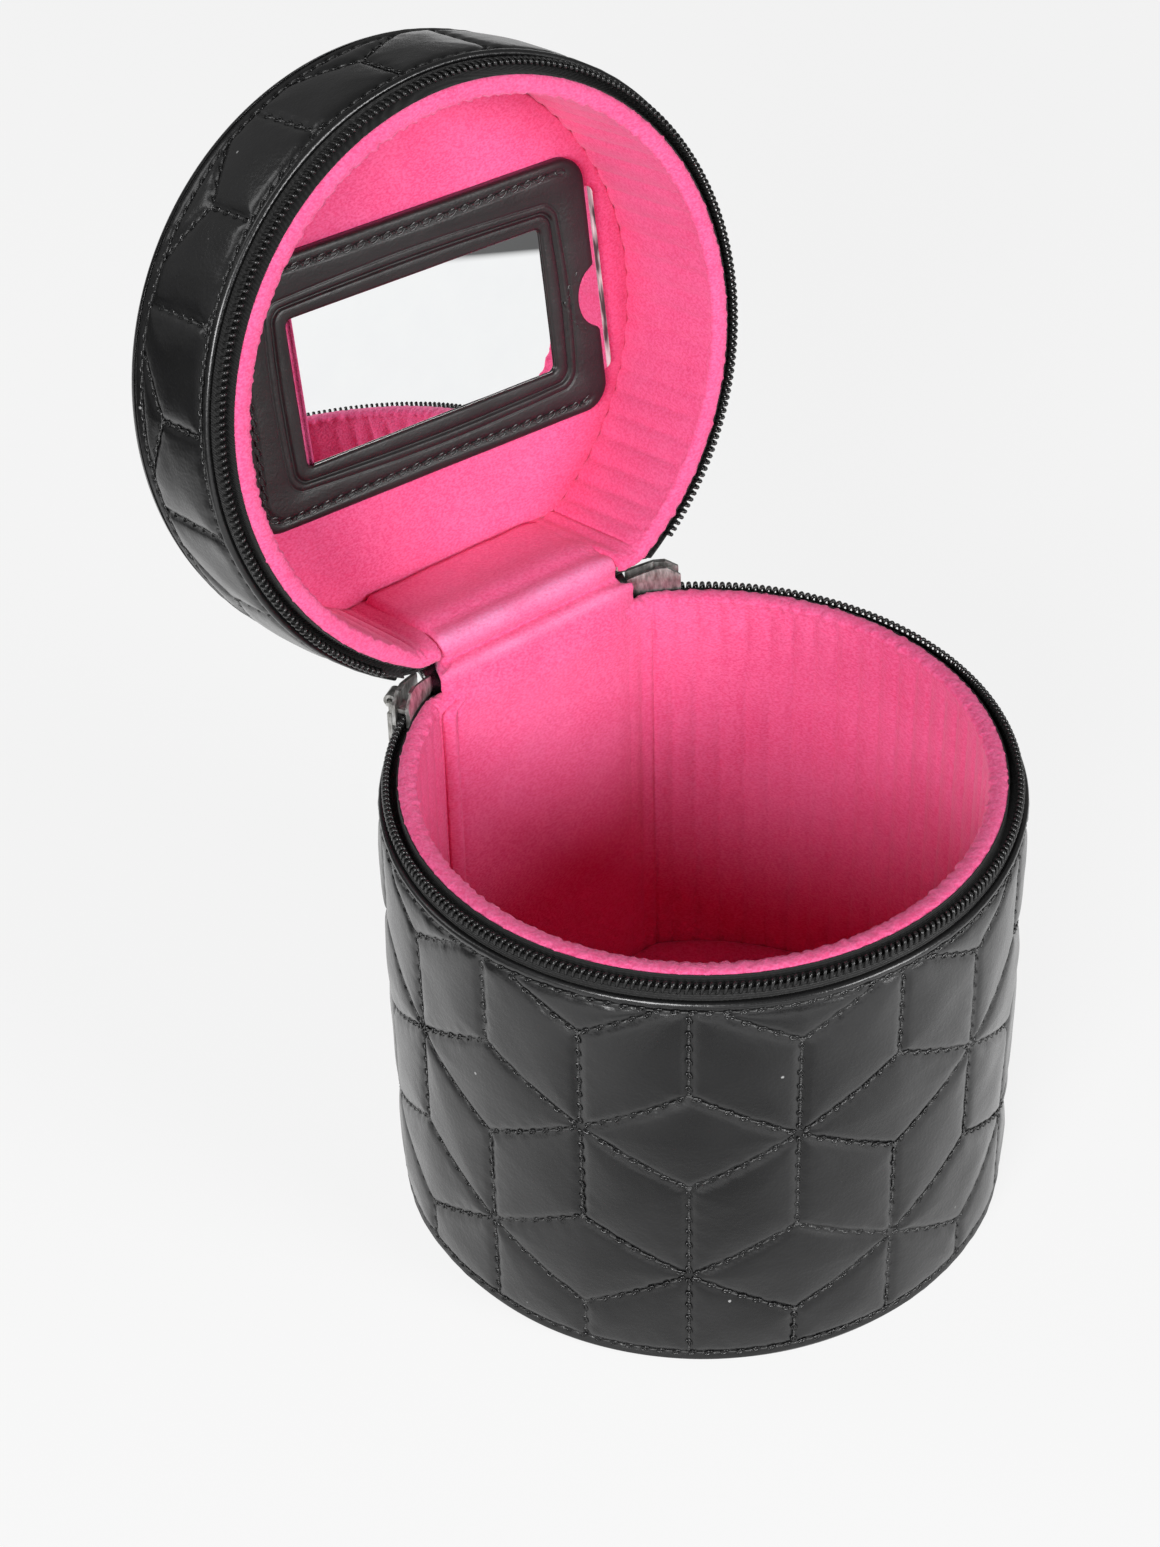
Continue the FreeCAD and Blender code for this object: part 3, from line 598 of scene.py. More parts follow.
def cover(name, height, level, body, node):
    """Quilted side cover with a rolled zip edge, a turned-in far edge and its stitches.

    level(t, s) gives the height on the case at a distance t from the zip edge.
    """
    roll = [(height / 2, -fold_depth), (7.0, -fold_depth), (1.6, -fold_depth), (0.5, -1.35), (0.08, -1.0),
            (0.0, -0.55), (0.2, -0.1), (0.55, 0.12)]
    foot = [(height - 0.55, -0.05), (height - 0.15, -0.4), (height, -0.95), (height, -fold_depth)]
    outer = np.linspace(1.0, height - 1.0, int(height / wall_step))
    t, out = np.array(roll + [(row, 0.0) for row in outer] + foot).T
    s = np.linspace(-back_arc, back_arc, int(2 * back_arc / wall_step))[:, None]
    z = level(t[None, :], s)
    relief = np.zeros(z.shape)
    rows = slice(len(roll), len(roll) + len(outer))
    relief[:, rows] = cover_relief(s, z[:, rows], t[None, rows], height)
    relief = relief + 0.22 * ripple(s, z, 46.0, 11) * (np.abs(out)[None] < 0.2)
    points = wall(s, z, out[None] + relief)
    piece = loft(name, placed(points, body), BLACK_LEATHER)
    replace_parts(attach(piece, body), node)

    spots, ways = seam_stitches(back_arc, z.min(), z.max())
    zip_edge, far_edge = level(0.0, spots[:, 0]), level(height, spots[:, 0])
    depth = height * (spots[:, 1] - zip_edge) / (far_edge - zip_edge)
    keep = (np.abs(spots[:, 0]) < back_arc - 1.5) & (depth > hem + 0.6) & (depth < height - hem - 0.6)
    spots, ways, depth = spots[keep], ways[keep], depth[keep]
    count = int(2 * back_arc / stitch_pitch)
    along = (np.arange(count) + 0.5) * 2 * back_arc / count - back_arc
    for row in (hem, height - hem):
        spots = np.vstack([spots, np.stack([along, level(row, along)], axis=1)])
        ways = np.vstack([ways, np.repeat([[1.0, 0.0]], count, axis=0)])
        depth = np.concatenate([depth, np.full(count, row)])
    _, _, nx, ny = plan(spots[:, 0])
    groove = cover_relief(spots[:, 0], spots[:, 1], depth, height)
    middles = placed(wall(spots[:, 0], spots[:, 1], groove + stitch_lift), body)
    normals = placed_ways(np.stack([nx, ny, np.zeros(len(nx))], axis=1), body)
    lines = placed_ways(np.stack([-ny * ways[:, 0], nx * ways[:, 0], ways[:, 1]], axis=1), body)
    stitches(name + "_stitches", middles, lines, normals, body, seam_dip, 1.0, QUILT_THREAD)


def base_levels(top):
    """Height on the base at a distance t down from its rim."""
    return lambda t, s: top - t + 0 * s


def lid_levels(edge, height, half_arc, rise):
    """Height on the lid at a distance t up from its rim, which is cut back beside the hinge."""
    def level(t, s):
        cut = rise * smooth_step(np.abs(s), half_arc - 0.8, half_arc + 0.8)
        return edge + cut + t * (height - cut) / height
    return level


band_height = band_top - lid_edge
lid_level = lid_levels(lid_edge, band_height, notch_arc, notch_top - lid_edge)
cover("base_quilt", base_height, base_levels(base_height), "base", "base_quilted_cover")
cover("lid_quilt", band_height, lid_level, "lid", "lid_quilted_band")


# Round pads and the lid's quilted top

pinhole = 0.004
cap_rise = 0.9


def rings(profile, flat_inset, steps):
    """Loops of (x, y, z) on an edge profile of (inset, z) pairs, and of (x, y) that shrink to the middle."""
    s = np.linspace(-half_length, half_length, int(2 * half_length / wall_step), endpoint=False)
    x, y, nx, ny = plan(s)
    edge = [np.column_stack([x - nx * inset, y - ny * inset, z + 0 * x]) for inset, z in profile]
    last = np.stack([x - nx * flat_inset, y - ny * flat_inset], axis=1)
    shrink = np.linspace(1, pinhole, steps)[1:, None, None]
    return np.stack(edge), last[None] * shrink


def disc(name, body, edge, flat, flat_z, material):
    """Closed pad from its edge loops and its crowned face, with a plain underside."""
    face = np.concatenate([flat, flat_z[:, :, None]], axis=2)
    under = edge[:1] * (pinhole, pinhole, 1.0)
    return loft(name, placed(np.concatenate([under, edge, face]), body), material)


def base_floor():
    """Crowned velour cushion on the floor."""
    inset = 8.1
    edge = [(inset, floor_low), (inset, floor_high - 2.4), (inset + 0.3, floor_high - 1.7),
            (inset + 1.1, floor_high - 1.25)]
    loops, flat = rings(edge, inset + 2.0, 36)
    reach = np.linalg.norm(flat, axis=2) / (case_radius - inset)
    crown = floor_high - 1.2 * reach ** 2 + 0.12 * ripple(flat[..., 0], flat[..., 1], 20.0, 21)
    piece = disc("base_floor_cushion", "base", loops, flat, crown, PINK_VELOUR)
    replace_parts(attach(piece, "base"), "base_floor_pad")


def lid_panel():
    """Padded velour panel inside the lid."""
    inset = 7.9
    thick = lid_ceiling - pad_face
    edge = [(inset, lid_ceiling), (inset - 0.1, pad_face + 0.5 * thick), (inset, pad_face + 0.16 * thick),
            (inset + 0.6, pad_face + 0.05 * thick)]
    loops, flat = rings(edge, inset + 1.6, 40)
    face = pad_face + 0.1 * ripple(flat[..., 0], flat[..., 1], 24.0, 22)
    piece = disc("lid_panel", "lid", loops, flat, face, PINK_VELOUR)
    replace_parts(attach(piece, "lid"), "lid_pad")


def lid_cap():
    """Quilted leather top with a round edge, and its stitches."""
    round_edge = 3.9
    inside = 2.2
    board = lid_top - 2.2
    turn = np.linspace(0, math.pi / 2, 9)
    edge = [(inside, board), (inside, band_top + 0.1), (1.2, band_top), (0.35, band_top + 0.15),
            (0.0, band_top + 0.5)]
    edge += [(round_edge * (1 - math.cos(a)), lid_top - round_edge * (1 - math.sin(a))) for a in turn]
    loops, flat = rings(edge, round_edge + 0.4, 84)
    x, y = flat[..., 0], flat[..., 1]
    from_edge = np.minimum(case_radius - np.hypot(x, y), hinge_flat - y)
    distance = np.minimum(seam_distance(x, y), np.abs(from_edge - round_edge - hem))
    face = lid_top + pillow(distance) * smooth_step(from_edge, 3.5, 6.5) + puckers(x, y, distance)
    face = face + cap_rise * smooth_step(from_edge, 4.0, 40.0)
    piece = disc("lid_quilted_cap", "lid", loops, flat, face, BLACK_LEATHER)
    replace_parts(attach(piece, "lid"), "lid_quilted_top")

    spots, ways = seam_stitches(case_radius, -case_radius, case_radius)
    margin = np.minimum(case_radius - np.hypot(spots[:, 0], spots[:, 1]), hinge_flat - spots[:, 1])
    keep = margin > round_edge + hem + 1.0
    spots, ways, margin = spots[keep], ways[keep], margin[keep]
    count = int(2 * half_length / stitch_pitch)
    s = np.arange(count) * 2 * half_length / count - half_length
    px, py, nx, ny = plan(s)
    inset = round_edge + hem
    spots = np.vstack([spots, np.stack([px - nx * inset, py - ny * inset], axis=1)])
    ways = np.vstack([ways, np.stack([-ny, nx], axis=1)])
    margin = np.concatenate([margin, np.full(count, inset)])
    z = lid_top + pillow(np.zeros(len(spots))) + cap_rise * smooth_step(margin, 4.0, 40.0) + stitch_lift
    middles = opened(np.column_stack([spots, z]))
    normals = placed_ways(np.repeat([[0.0, 0.0, 1.0]], len(spots), axis=0), "lid")
    lines = placed_ways(np.column_stack([ways, np.zeros(len(ways))]), "lid")
    stitches("lid_cap_stitches", middles, lines, normals, "lid", seam_dip, 1.0, QUILT_THREAD)


base_floor()
lid_panel()
lid_cap()


# Velour linings

lining_out = -3.95
lining_in = -7.7
flute_pitch = 6.0
rim_rise = 0.45
rim_bead = 1.3


def flutes(s):
    """Uneven upright ribs, stronger on the right-hand wall."""
    bent = s + 0.9 * ripple(s, 0 * s, 31.0, 31)
    share = np.mod(bent / flute_pitch, 1.0)
    rib = 1 - np.abs(2 * share - 1) ** 2.5
    strength = 0.42 + 0.4 * smooth_step(s, 25.0, 80.0) + 0.18 * ripple(s, 0 * s, 40.0, 32)
    return 0.85 * rib * np.clip(strength, 0.25, 1.0)


def lining(name, depth, level, body, node):
    """Wall lining with upright ribs and a thick raw rim, beaded except at the hinge.

    level(t, s) is as for the covers.
    """
    inner = np.linspace(3.2, depth, int(depth / 2.0))[::-1]
    rim = [(2.2, 0.2), (1.5, 0.45), (0.9, 0.8), (0.45, 1.25), (0.15, 1.75), (0.0, 2.3), (0.1, 2.85)]
    back = [(0.35, -0.4), (0.75, -0.1), (1.2, 0.0), (4.0, 0.0), (4.2, -1.4), (depth, -1.4)]
    rows = [(row, lining_in) for row in inner] + [(row, lining_in + out) for row, out in rim]
    t, out = np.array(rows + [(row, lining_out + out) for row, out in back]).T
    s = np.linspace(-half_length, half_length, int(2 * half_length / 0.6), endpoint=False)[:, None]
    z = level(t[None, :], s)
    ribbed = (out < lining_in + 0.3)[None] * smooth_step(t, 0.6, 6.0)[None]
    bead = rim_bead * np.exp(-((out - lining_in - 0.95) / 0.9) ** 2 - (t / 2.6) ** 2)
    corner = half_length - hinge_half - 8.0
    from_hinge = 1 - smooth_step(np.abs(s), corner - 10.0, corner)
    shaped = out[None] - flutes(s) * ribbed - bead[None] * from_hinge
    fuzz = np.exp(-((t[None] - 0.6) / 1.3) ** 2) * (out < lining_out - 0.3)[None]
    shaped = shaped + fuzz * (0.26 * ripple(s, z, 3.1, 41) + 0.22 * ripple(s, z, 1.6, 42))
    shaped = shaped + 0.1 * ripple(s, z, 26.0, 43) * (out < lining_in + 0.3)[None]
    points = wall(s, z + fuzz * 0.16 * ripple(s, 9 * out[None], 2.3, 44), shaped)
    piece = loft(name, placed(points, body), PINK_VELOUR, loop_rows=True)
    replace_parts(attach(piece, body), node)


base_rim = lining_top + rim_rise
lid_depth = lid_ceiling - lid_rim
lid_level = lid_levels(lid_rim - rim_rise, lid_depth, half_length - hinge_half, notch_top - lid_rim)
lining("base_velour_wall", base_rim - floor_low, base_levels(base_rim), "base", "base_lining")
lining("lid_velour_wall", lid_depth + 0.1, lid_level, "lid", "lid_lining")


# Zip

zip_inset = 1.6
coil_half_width = 0.9
filament = 0.34
coil_turn = 1.5


def node_arc(node):
    """Arc length on the outline that a zip piece reaches on each side."""
    points = shut_points(node)
    return case_radius * np.arctan2(points[:, 0], -points[:, 1]).max()


def shut_height(z, body):
    return z if body == "base" else 2 * parting - z


def coil(body):
    """One row of the zip: a flattened spiral of filament with a thickened head on each turn."""
    node = body + "_zip_coil"
    limit = node_arc(node) - filament
    turns = 2 * limit / coil_turn
    phase = np.linspace(0, 2 * math.pi * turns, int(turns * 14))
    s = -limit + coil_turn * phase / (2 * math.pi)
    middle = (coil_low + coil_tip) / 2
    wide = coil_half_width - filament
    tall = (coil_tip - coil_low) / 2 - filament
    out = -zip_inset + wide * np.cos(phase)
    z = middle + tall * np.sign(np.sin(phase)) * np.abs(np.sin(phase)) ** 0.7
    head = np.clip(np.sin(phase), 0, 1) ** 4
    path = placed(wall(s, shut_height(z, body), out), body)
    axis = placed(wall(s, shut_height(middle + 0 * z, body), -zip_inset), body)
    piece = tube(body + "_zip_spiral", path, path - axis, filament * (1 + 0.35 * head), BLACK_NYLON)
    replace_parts(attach(piece, body), node)


def tape(body):
    """Zip tape behind the coil, sewn in under the leather's edge and turned in over the board.

    Its section is a list of heights above the coil's foot and places outwards from the outline.
    On the lid its tail runs on above the slider to the hinge.
    """
    node = body + "_zip_tape"
    limit = arc_at(hinge_half + (3.5 if body == "base" else 2.0))
    s = np.linspace(-limit, limit, int(2 * limit / 0.8))[:, None]
    inside = zip_inset + 0.1
    fold = lining_out - 0.17
    rows = [(-9.0, -inside - 0.1), (-1.5, -inside - 0.1), (-1.5, fold), (2.6, fold), (2.75, fold + 0.12),
            (2.6, fold + 0.25), (-0.9, fold + 0.3), (-1.1, -inside - 0.8), (-0.7, -inside - 0.15),
            (1.0, -inside - 0.1), (1.3, -inside + 0.15)]
    rows += [(z, -inside + 0.4 + 0.05 * (-1) ** k) for k, z in enumerate(np.linspace(1.1, -2.5, 14))]
    rows.append((-9.0, -inside + 0.35))
    z, out = np.array(rows).T[:, None]
    level = shut_height(coil_low + z, body) + 0 * s
    if body == "lid":
        tail = lid_edge + 0.6
        lifted = level + (tail - level) * smooth_step(np.abs(s), notch_arc - 0.6, notch_arc)
        level = np.where(level < tail, lifted, level)
    points = wall(s, level, out + 0 * s)
    piece = loft(body + "_zip_ribbon", placed(points, body), BLACK_TAPE)
    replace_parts(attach(piece, body), node)


for half in ("base", "lid"):
    coil(half)
    tape(half)


# Hinge: one velour strip inside and one leather panel outside, both crossing the fold


def on_lid(*spots):
    """Open positions, as (y, z), of spots given on the shut lid."""
    return [tuple(opened([0.0, y, z])[1:]) for y, z in spots]


def hinge_strip(name, face, back, material, flare, above, below, curl,
                right_slope=0.08, welt=0.0, left_reach=0.0):
    """Closed strip across the hinge between two paths of (y, z) points, and the length of its face.

    It is wider by flare in the fold, which lies above a height on the base and below one on the shut
    lid. Its long edges bend by curl towards the wall, on the right over a share right_slope of the half
    width. On the base its left edge reaches further by left_reach and has a raised welt.
    """
    face, back = smooth_path(face, 1.1), smooth_path(back, 1.6)
    section = np.vstack([face, back])
    run = np.linalg.norm(np.diff(face, axis=0), axis=1).sum()
    along = np.gradient(face, axis=0)
    to_wall = unit(np.stack([along[:, 1], -along[:, 0]], axis=1))
    share = np.linspace(1, 0, len(back)) * (len(face) - 1)
    behind = [np.interp(share, np.arange(len(face)), to_wall[:, k]) for k in (0, 1)]
    to_wall = np.vstack([to_wall, np.stack(behind, axis=1)])
    z = section[:, 1]
    shut_z = about_hinge(np.column_stack([np.zeros(len(section)), section]), opening)[:, 2]
    in_fold = smooth_step(z, above, above + 1.2) * smooth_step(-shut_z, -below, -below + 1.2)
    half = hinge_half + flare * in_fold
    u = np.concatenate([[-1, -0.99, -0.975, -0.955, -0.93, -0.91, -0.895, -0.88, -0.87, -0.86, -0.845],
                        np.linspace(-0.82, 0.93, 43), [0.955, 0.975, 0.99, 1]])[:, None]
    uneven = 0.12 * ripple(u * hinge_half, section.sum(axis=1)[None], 15.0, 51) * (1 - u ** 4)
    slope = np.where(u > 0, right_slope, 0.08)
    over_rim = smooth_step(z, above - 2.5, above) * smooth_step(-z, -above - 3.5, -above - 1.5)
    bend = curl * (1 + over_rim) * np.clip((np.abs(u) - 1 + slope) / slope, 0, 1) ** 2 + uneven
    on_base = 1 - smooth_step(z, above - 3, above)[None]
    bend = bend + welt * on_base * (0.5 * np.exp(-((u + 0.865) / 0.012) ** 2) - smooth_step(-u, 0.87, 0.91))
    grid = section[None] + to_wall[None] * bend[:, :, None]
    x = u * half[None] - left_reach * on_base * (1 - u) / 2
    return loft(name, np.concatenate([x[:, :, None], grid], axis=2), material), run


def hinge_velour():
    """Velour strip: up the base's lining, over a fold with two ridges and a crease, and into the lid."""
    inner = hinge_flat - 9.1
    thick = 0.75
    corner_reach = 5.0
    face = [(inner, 5.5), (inner, 60.0), (inner, 99.0), (inner + 0.2, 103.0), (50.6, 105.6), (51.9, 107.2),
            (52.5, 108.8), (53.3, 110.3), (54.6, 111.0), (55.9, 111.1), (55.4, 112.6), (55.9, 114.5),
            (57.4, 115.8), (59.3, 116.0), (61.6, 115.5)]
    face += on_lid((inner, notch_top + 1.0), (inner, 124.0), (inner - 0.2, pad_face - 1.0))
    outer = inner + thick
    back = on_lid((outer, pad_face - 1.0), (outer, 124.0), (outer, notch_top + 1.5))
    back += [(62.0, 111.6), (60.8, 109.9), (58.6, 108.9), (57.0, 107.2), (56.0, 105.4), (52.6, 105.2),
             (inner + 1.3, 103.6), (outer, 99.0), (outer, 60.0), (outer, 5.5)]
    ridges = ((57.0, 115.6, 2.3, 1.0), (53.0, 110.1, 1.2, 0.7))
    piece, run = hinge_strip(
        "hinge_velour", face, back, PINK_VELOUR, flare=2.4, above=105.4, below=106.4, curl=1.2,
        right_slope=0.3, welt=0.6, left_reach=corner_reach,
    )
    x, y, z = mesh_points(piece.data).T
    # Painted highlight on the fold's two ridges, where the pile catches the light. Partly this is crushed
    # pile there.
    crush_and_highlight = np.zeros(len(x))
    for ridge_y, ridge_z, width, share in ridges:
        crush_and_highlight = np.maximum(crush_and_highlight, share * np.exp(-(np.hypot(y - ridge_y, z - ridge_z) / width) ** 2))
    crush_and_highlight = np.clip(crush_and_highlight * (0.85 + 0.3 * ripple(x, z, 16.0, 52)), 0, 1)
    piece.data.attributes.new("pile_crush_and_highlight", "FLOAT", "POINT").data.foreach_set("value", crush_and_highlight)
    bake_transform(piece)
    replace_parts(piece, "base_hinge_strip", "hinge_fold", "lid_hinge_strip")


def hinge_leather():
    """Plain leather back: up the base's flat, across the fold on the outside and over the lid's."""
    outer = hinge_flat - 0.05
    inside = hinge_flat - 1.9
    face = [(outer - 0.9, 0.05), (outer - 0.1, 0.6), (outer, 3.0), (outer, 60.0), (outer, 101.0),
            (outer + 0.1, 104.2), (outer + 0.75, 106.3), (outer + 2.3, 107.2)]
    face += on_lid((outer, 115.0), (outer, 124.0), (outer, band_top - 0.5), (outer - 0.6, band_top - 0.05))
    back = on_lid((inside, band_top - 0.1), (inside, 124.0), (inside, 116.0))
    back += [(60.8, 109.0), (58.6, 108.2), (57.0, 106.2), (inside, 104.0), (inside, 101.0), (inside, 60.0),
             (inside, 1.3)]
    piece, run = hinge_strip(
        "hinge_leather", face, back, BLACK_LEATHER, flare=3.6, above=101.2, below=114.4, curl=-0.5
    )
    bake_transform(piece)
    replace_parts(piece, "base_back_panel", "lid_back_panel")


hinge_velour()
hinge_leather()


# Mirror frame, in the lid's plane

frame_centre = (1.4, -0.5)
frame_turn = math.radians(2.5)
frame_size = (92.5, 57.7)
frame_corner = 6.0
frame_face = pad_face - span("mirror_frame", 2)[0]
window_centre = (0.7, 0.7)
window_size = (65.0, 32.5)
window_corner = 1.5
thumb_width = 14.5
thumb_depth = 5.0
thumb_offset = 3.6
side_steps = 60
corner_steps = 10


def rounded_loop(size, corner, centre=(0.0, 0.0)):
    """Points round a rectangle with rounded corners, the same number on every side and corner."""
    middles = np.array([(1, -1), (1, 1), (-1, 1), (-1, -1)]) * (np.array(size) / 2 - corner)
    steps = np.linspace(0, 1, side_steps + 1)[1:-1, None]
    found = []
    for k, middle in enumerate(middles):
        angle = math.pi / 2 * (k - 1) + np.linspace(0, math.pi / 2, corner_steps)
        arc = corner * np.stack([np.cos(angle), np.sin(angle)], axis=1)
        end, start = middle + arc[-1], middles[(k + 1) % 4] + arc[-1]
        found += [middle + arc, end + (start - end) * steps]
    return np.vstack(found) + np.array(centre)


def in_lid_plane(points):
    """From the frame's own plane, with height off the panel as z, to the open lid."""
    c, s = math.cos(frame_turn), math.sin(frame_turn)
    x = frame_centre[0] + points[..., 0] * c - points[..., 1] * s
    y = frame_centre[1] + points[..., 0] * s + points[..., 1] * c
    return opened(np.stack([x, y, pad_face - points[..., 2]], axis=-1))


def frame_edge():
    """Outer loop of the frame, with the thumb notch in its right side."""
    loop = rounded_loop(frame_size, frame_corner)
    radius = (thumb_width ** 2 / 4 + thumb_depth ** 2) / (2 * thumb_depth)
    middle = frame_size[0] / 2 + radius - thumb_depth
    off = loop[:, 1] - thumb_offset
    inside = (np.abs(off) < thumb_width / 2) & (loop[:, 0] > 0)
    loop[inside, 0] = middle - np.sqrt(radius ** 2 - off[inside] ** 2)
    return loop


def frame_dip(w):
    return 0.26 * smooth_step(w, 0.35, 0.85)


def mirror_frame():
    """Padded leather frame: window lip, two pressed grooves, a sewn groove and an open right side.

    Its rows are given by a reach from the window, then from the edge, and a rise above the face.
    """
    outer = frame_edge()
    window = rounded_loop(window_size, window_corner, window_centre)
    width = np.linalg.norm(outer - window, axis=1)
    right = frame_size[0] / 2
    open_side = smooth_step(outer[:, 0], right - 6.0, right - 4.0)
    open_side = open_side * smooth_step(21.6 - np.abs(outer[:, 1]), 0.0, 0.8)
    under = 1.55
    foot = 0.02 + (under - 0.05) * open_side
    top = frame_face
    from_window = [(0.05, -0.5), (0.3, -0.18), (0.8, -0.02), (2.2, 0.0), (3.0, 0.0), (3.3, -0.12),
                   (3.5, -0.45), (3.75, -0.52), (4.0, -0.45), (4.25, -0.1), (4.6, 0.0), (5.4, 0.0),
                   (5.65, -0.08), (5.9, -0.26), (6.15, -0.08), (6.5, 0.0)]
    from_edge = [(4.5, 0.0), (3.95, -0.04), (3.55, -0.3), (3.1, -0.38), (2.65, -0.3), (2.25, -0.04),
                 (1.8, 0.03), (1.0, 0.0), (0.5, -0.14), (0.15, -0.42), (0.0, -0.85)]
    squeeze = np.clip((width - 6.8) / 4.5, 0, 1)
    sewn = 1 - smooth_step(rounded_loop(frame_size, frame_corner)[:, 0], right - 4.0, right - 2.0)

    def inwards(reach):
        """The outer loop moved towards the window."""
        return outer + (window - outer) * (reach / width)[:, None]

    rows = [(window, under + 0.05)]
    for reach, rise in from_window:
        rows.append((window + (outer - window) * (reach / width)[:, None], top + rise))
    for reach, rise in from_edge:
        rows.append((inwards(squeeze * reach), top + rise * (sewn if reach > 1.5 else 1)))
    rows += [(outer, foot), (inwards(2.0), foot), (inwards(4.5), under)]
    grid = np.stack([np.column_stack([loop, height + 0 * width]) for loop, height in rows], axis=1)
    grid[..., 2] += 0.05 * ripple(grid[..., 0], grid[..., 1], 14.0, 61)
    piece = loft("mirror_leather_frame", in_lid_plane(grid), FRAME_LEATHER, loop_rows=True)
    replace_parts(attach(piece, "lid"), "mirror_frame")

    line = inwards(3.1)
    step = np.linalg.norm(np.diff(line, axis=0, append=line[:1]), axis=1)
    reach = np.concatenate([[0], np.cumsum(step)[:-1]])
    marks = np.arange(0.5, reach[-1] / stitch_pitch) * stitch_pitch
    spot = np.stack([np.interp(marks, reach, line[:, k]) for k in range(2)], axis=1)
    way = unit(np.gradient(spot, axis=0))
    keep = spot[:, 0] < right - 4.5
    spot, way = spot[keep], way[keep]
    shift = in_lid_plane(np.zeros((1, 3)))
    middles = in_lid_plane(np.column_stack([spot, np.full(len(spot), top - 0.26)]))
    lines = in_lid_plane(np.column_stack([way, np.zeros(len(way))])) - shift
    normals = in_lid_plane(np.repeat([[0.0, 0.0, 1.0]], len(spot), axis=0)) - shift
    stitches("mirror_frame_stitches", middles, lines, normals, "lid", frame_dip, 1.4, FRAME_THREAD)


mirror_frame()


# Hardware: the CAD shape with its edges eased


def eased(node, name, body, width):
    """A metal piece with the CAD node's shape and small round edges."""
    mesh = frame["nodes"][node].data.copy()
    mesh.name = name
    mesh.materials.clear()
    mesh.materials.append(NICKEL)
    work = bmesh.new()
    work.from_mesh(mesh)
    bmesh.ops.remove_doubles(work, verts=work.verts, dist=0.002 * MM)
    bmesh.ops.dissolve_limit(work, angle_limit=math.radians(1.0), verts=work.verts, edges=work.edges)
    work.to_mesh(mesh)
    work.free()
    piece = add_object(name, mesh)
    soften = piece.modifiers.new("eased_edges", "BEVEL")
    soften.width = width * MM
    soften.segments = 2
    soften.limit_method = "ANGLE"
    soften.angle_limit = math.radians(35)
    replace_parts(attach(piece, body), node)


for hand in ("right", "left"):
    eased(hand + "_slider", hand + "_zip_runner", hand + "_zip_slider", 0.14)
    eased(hand + "_pull_tab", hand + "_zip_pull", hand + "_zip_tab", 0.2)


# CAD nodes that stay

finishes = {node: BOARD for node in frame["nodes"] if node.endswith(("_board", "_card"))}
finishes.update(base_bottom_cover=BLACK_LEATHER, mirror=MIRROR)
for node, material in finishes.items():
    mesh = frame["nodes"][node].data
    mesh.materials.clear()
    mesh.materials.append(material)


# Floor, light and camera

photo_size = (1160, 1547)
camera_place = (-0.34134, -0.40295, 0.53391)
camera_azimuth = math.radians(-37.572)
camera_elevation = math.radians(39.144)
camera_roll = math.radians(-1.552)
focal_pixels = 3345.33
sensor = 36.0


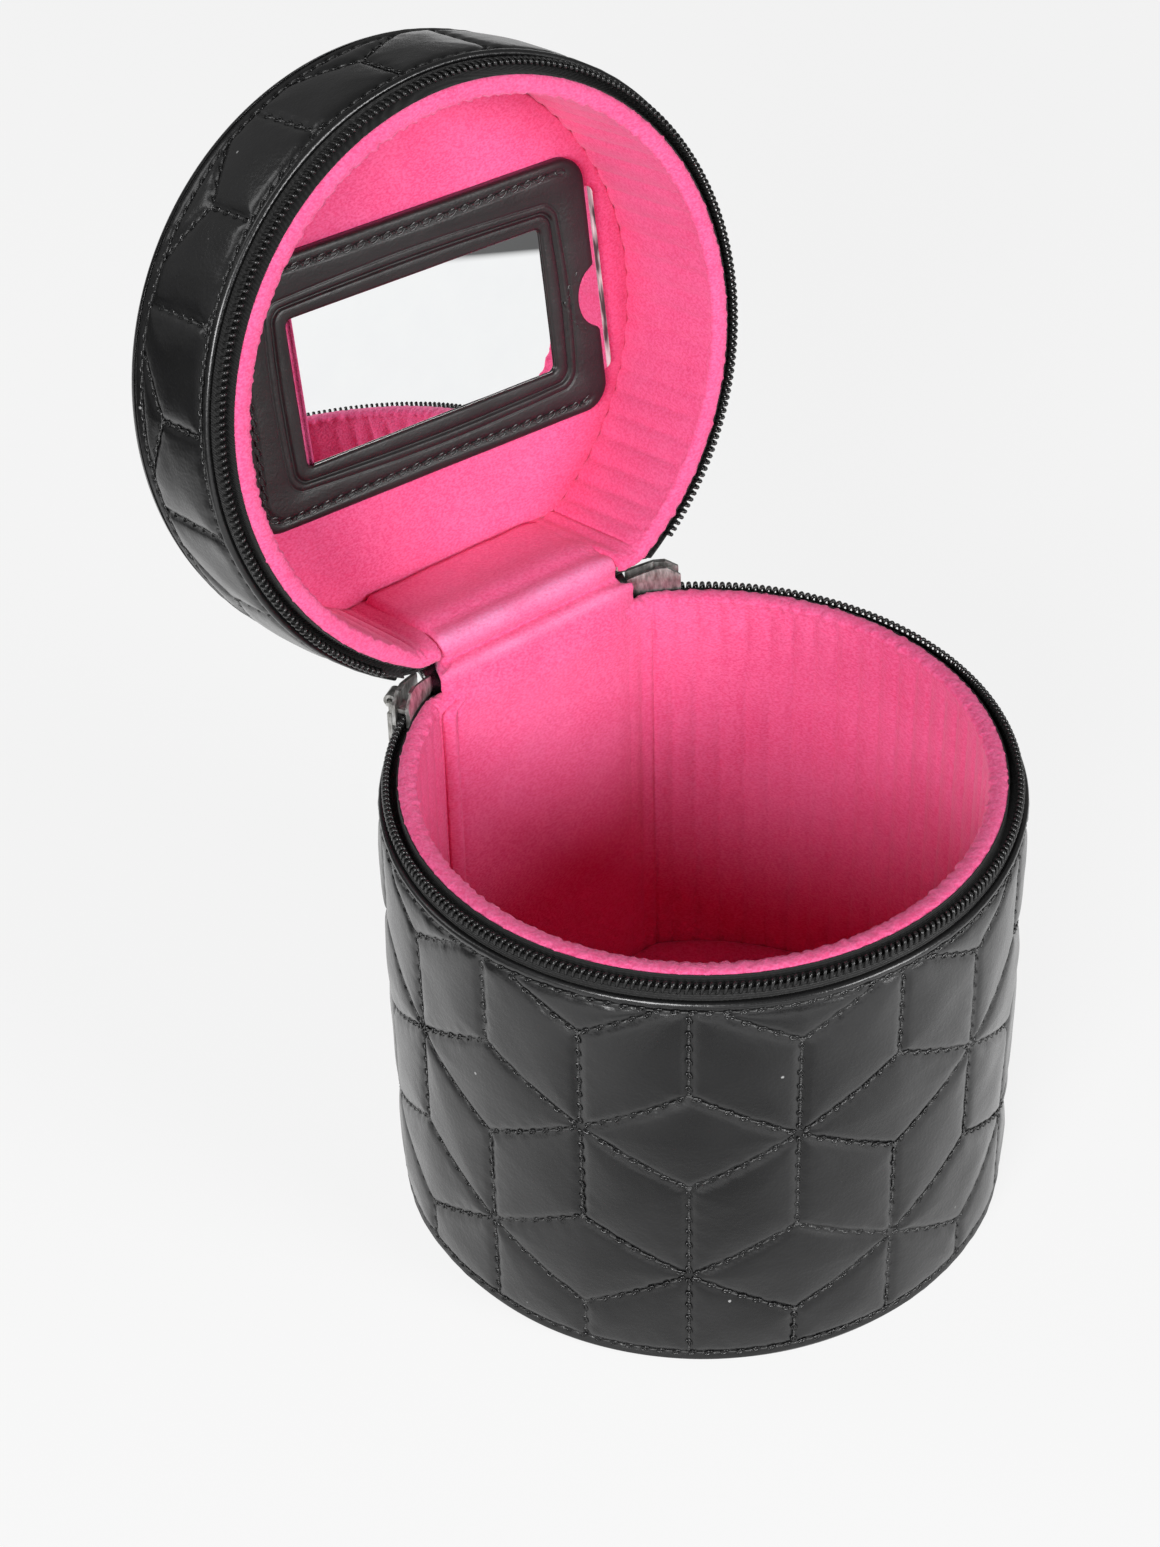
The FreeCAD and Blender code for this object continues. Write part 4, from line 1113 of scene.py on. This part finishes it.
def studio_floor():
    """White paper that keeps a faint shadow.

    In reflections it ends on the right, fades on the left and carries a painted shadow close in front of the
    case.
    """
    bpy.ops.mesh.primitive_plane_add(size=6.0, location=(0, 0, -0.0002))
    floor = bpy.context.object
    floor.name = "studio_floor"
    graph = Graph("studio_floor_paint", Roughness=0.9)
    light = graph.add("ShaderNodeLightPath")
    seen = light.outputs["Is Camera Ray"]
    across = graph.along((0.797, -0.604, 0.0))
    right_end = graph.ramp(across, 0.5, 0.51, 1.0, 0.0)
    paper = graph.math("MULTIPLY", graph.ramp(across, -0.45, -0.2, 0.0, 1.0), right_end)
    # Painted shadow: a soft dim spot on the paper close in front of the case, seen only in reflections and
    # bounced light.
    painted_shadow_middle = {0: graph.place, 1: (-0.1, -0.13, 0.0)}
    from_painted_shadow = graph.add("ShaderNodeVectorMath", painted_shadow_middle, operation="DISTANCE").outputs["Value"]
    paper = graph.math("MULTIPLY", paper, graph.ramp(from_painted_shadow, 0.04, 0.2, 0.22, 1.0))
    mirrored = graph.math("MULTIPLY", graph.math("MULTIPLY", light.outputs["Is Glossy Ray"], paper), 0.92)
    share = graph.math("MAXIMUM", graph.math("MULTIPLY", seen, 0.86), mirrored)
    tone = graph.math("MAXIMUM", seen, graph.ramp(paper, 0.0, 1.0, 0.06, 1.0))
    graph.set("Base Color", graph.mix(tone, grey(0), grey(0.86)))
    glow = graph.add("ShaderNodeEmission", {"Color": grey(0.98), "Strength": 1.0})
    both = graph.add("ShaderNodeMixShader", {0: share, 1: graph.shader.outputs[0], 2: glow.outputs[0]})
    graph.links.new(both.outputs[0], graph.nodes["Material Output"].inputs["Surface"])
    floor.data.materials.append(graph.material)


def studio_world():
    """Dim room that the camera sees as white."""
    world = bpy.data.worlds.new("studio_world")
    bpy.context.scene.world = world
    world.use_nodes = True
    nodes, links = world.node_tree.nodes, world.node_tree.links
    light = nodes.new("ShaderNodeLightPath")
    brighter = nodes.new("ShaderNodeMath")
    brighter.operation = "MAXIMUM"
    for index, (ray, low, high) in enumerate((("Is Glossy Ray", 0.06, 0.18), ("Is Camera Ray", 0.0, 0.93))):
        strength = nodes.new("ShaderNodeMapRange")
        strength.inputs["To Min"].default_value = low
        strength.inputs["To Max"].default_value = high
        links.new(light.outputs[ray], strength.inputs["Value"])
        links.new(strength.outputs[0], brighter.inputs[index])
    background = nodes["Background"]
    background.inputs["Color"].default_value = grey(1)
    links.new(brighter.outputs[0], background.inputs["Strength"])


def area_light(name, place, target, size, power):
    lamp = bpy.data.lights.new(name, "AREA")
    lamp.shape = "DISK"
    lamp.size = size
    lamp.energy = power
    holder = add_object(name, lamp)
    holder.location = place
    holder.rotation_euler = (Vector(target) - Vector(place)).to_track_quat("-Z", "Y").to_euler()


def camera():
    data = bpy.data.cameras.new("photo_camera")
    data.sensor_fit = "VERTICAL"
    data.sensor_height = sensor
    data.lens = focal_pixels * sensor / photo_size[1]
    place = Matrix.Translation(camera_place)
    for angle, axis in ((camera_azimuth, "Z"), (math.pi / 2 - camera_elevation, "X"), (camera_roll, "Z")):
        place = place @ Matrix.Rotation(angle, 4, axis)
    holder = add_object("photo_camera", data)
    holder.matrix_world = place
    bpy.context.scene.camera = holder


studio_floor()
studio_world()
area_light("left_key", (-1.3, -0.8, 0.78), (0, 0.02, 0.1), 0.8, 24.0)
area_light("front_key", (0.5, -1.5, 0.62), (0, 0.02, 0.12), 0.8, 19.0)
area_light("back_light", (-0.75, 1.0, 1.2), (0, 0.05, 0.15), 0.7, 2.5)
camera()
bpy.context.scene.view_settings.view_transform = "Standard"
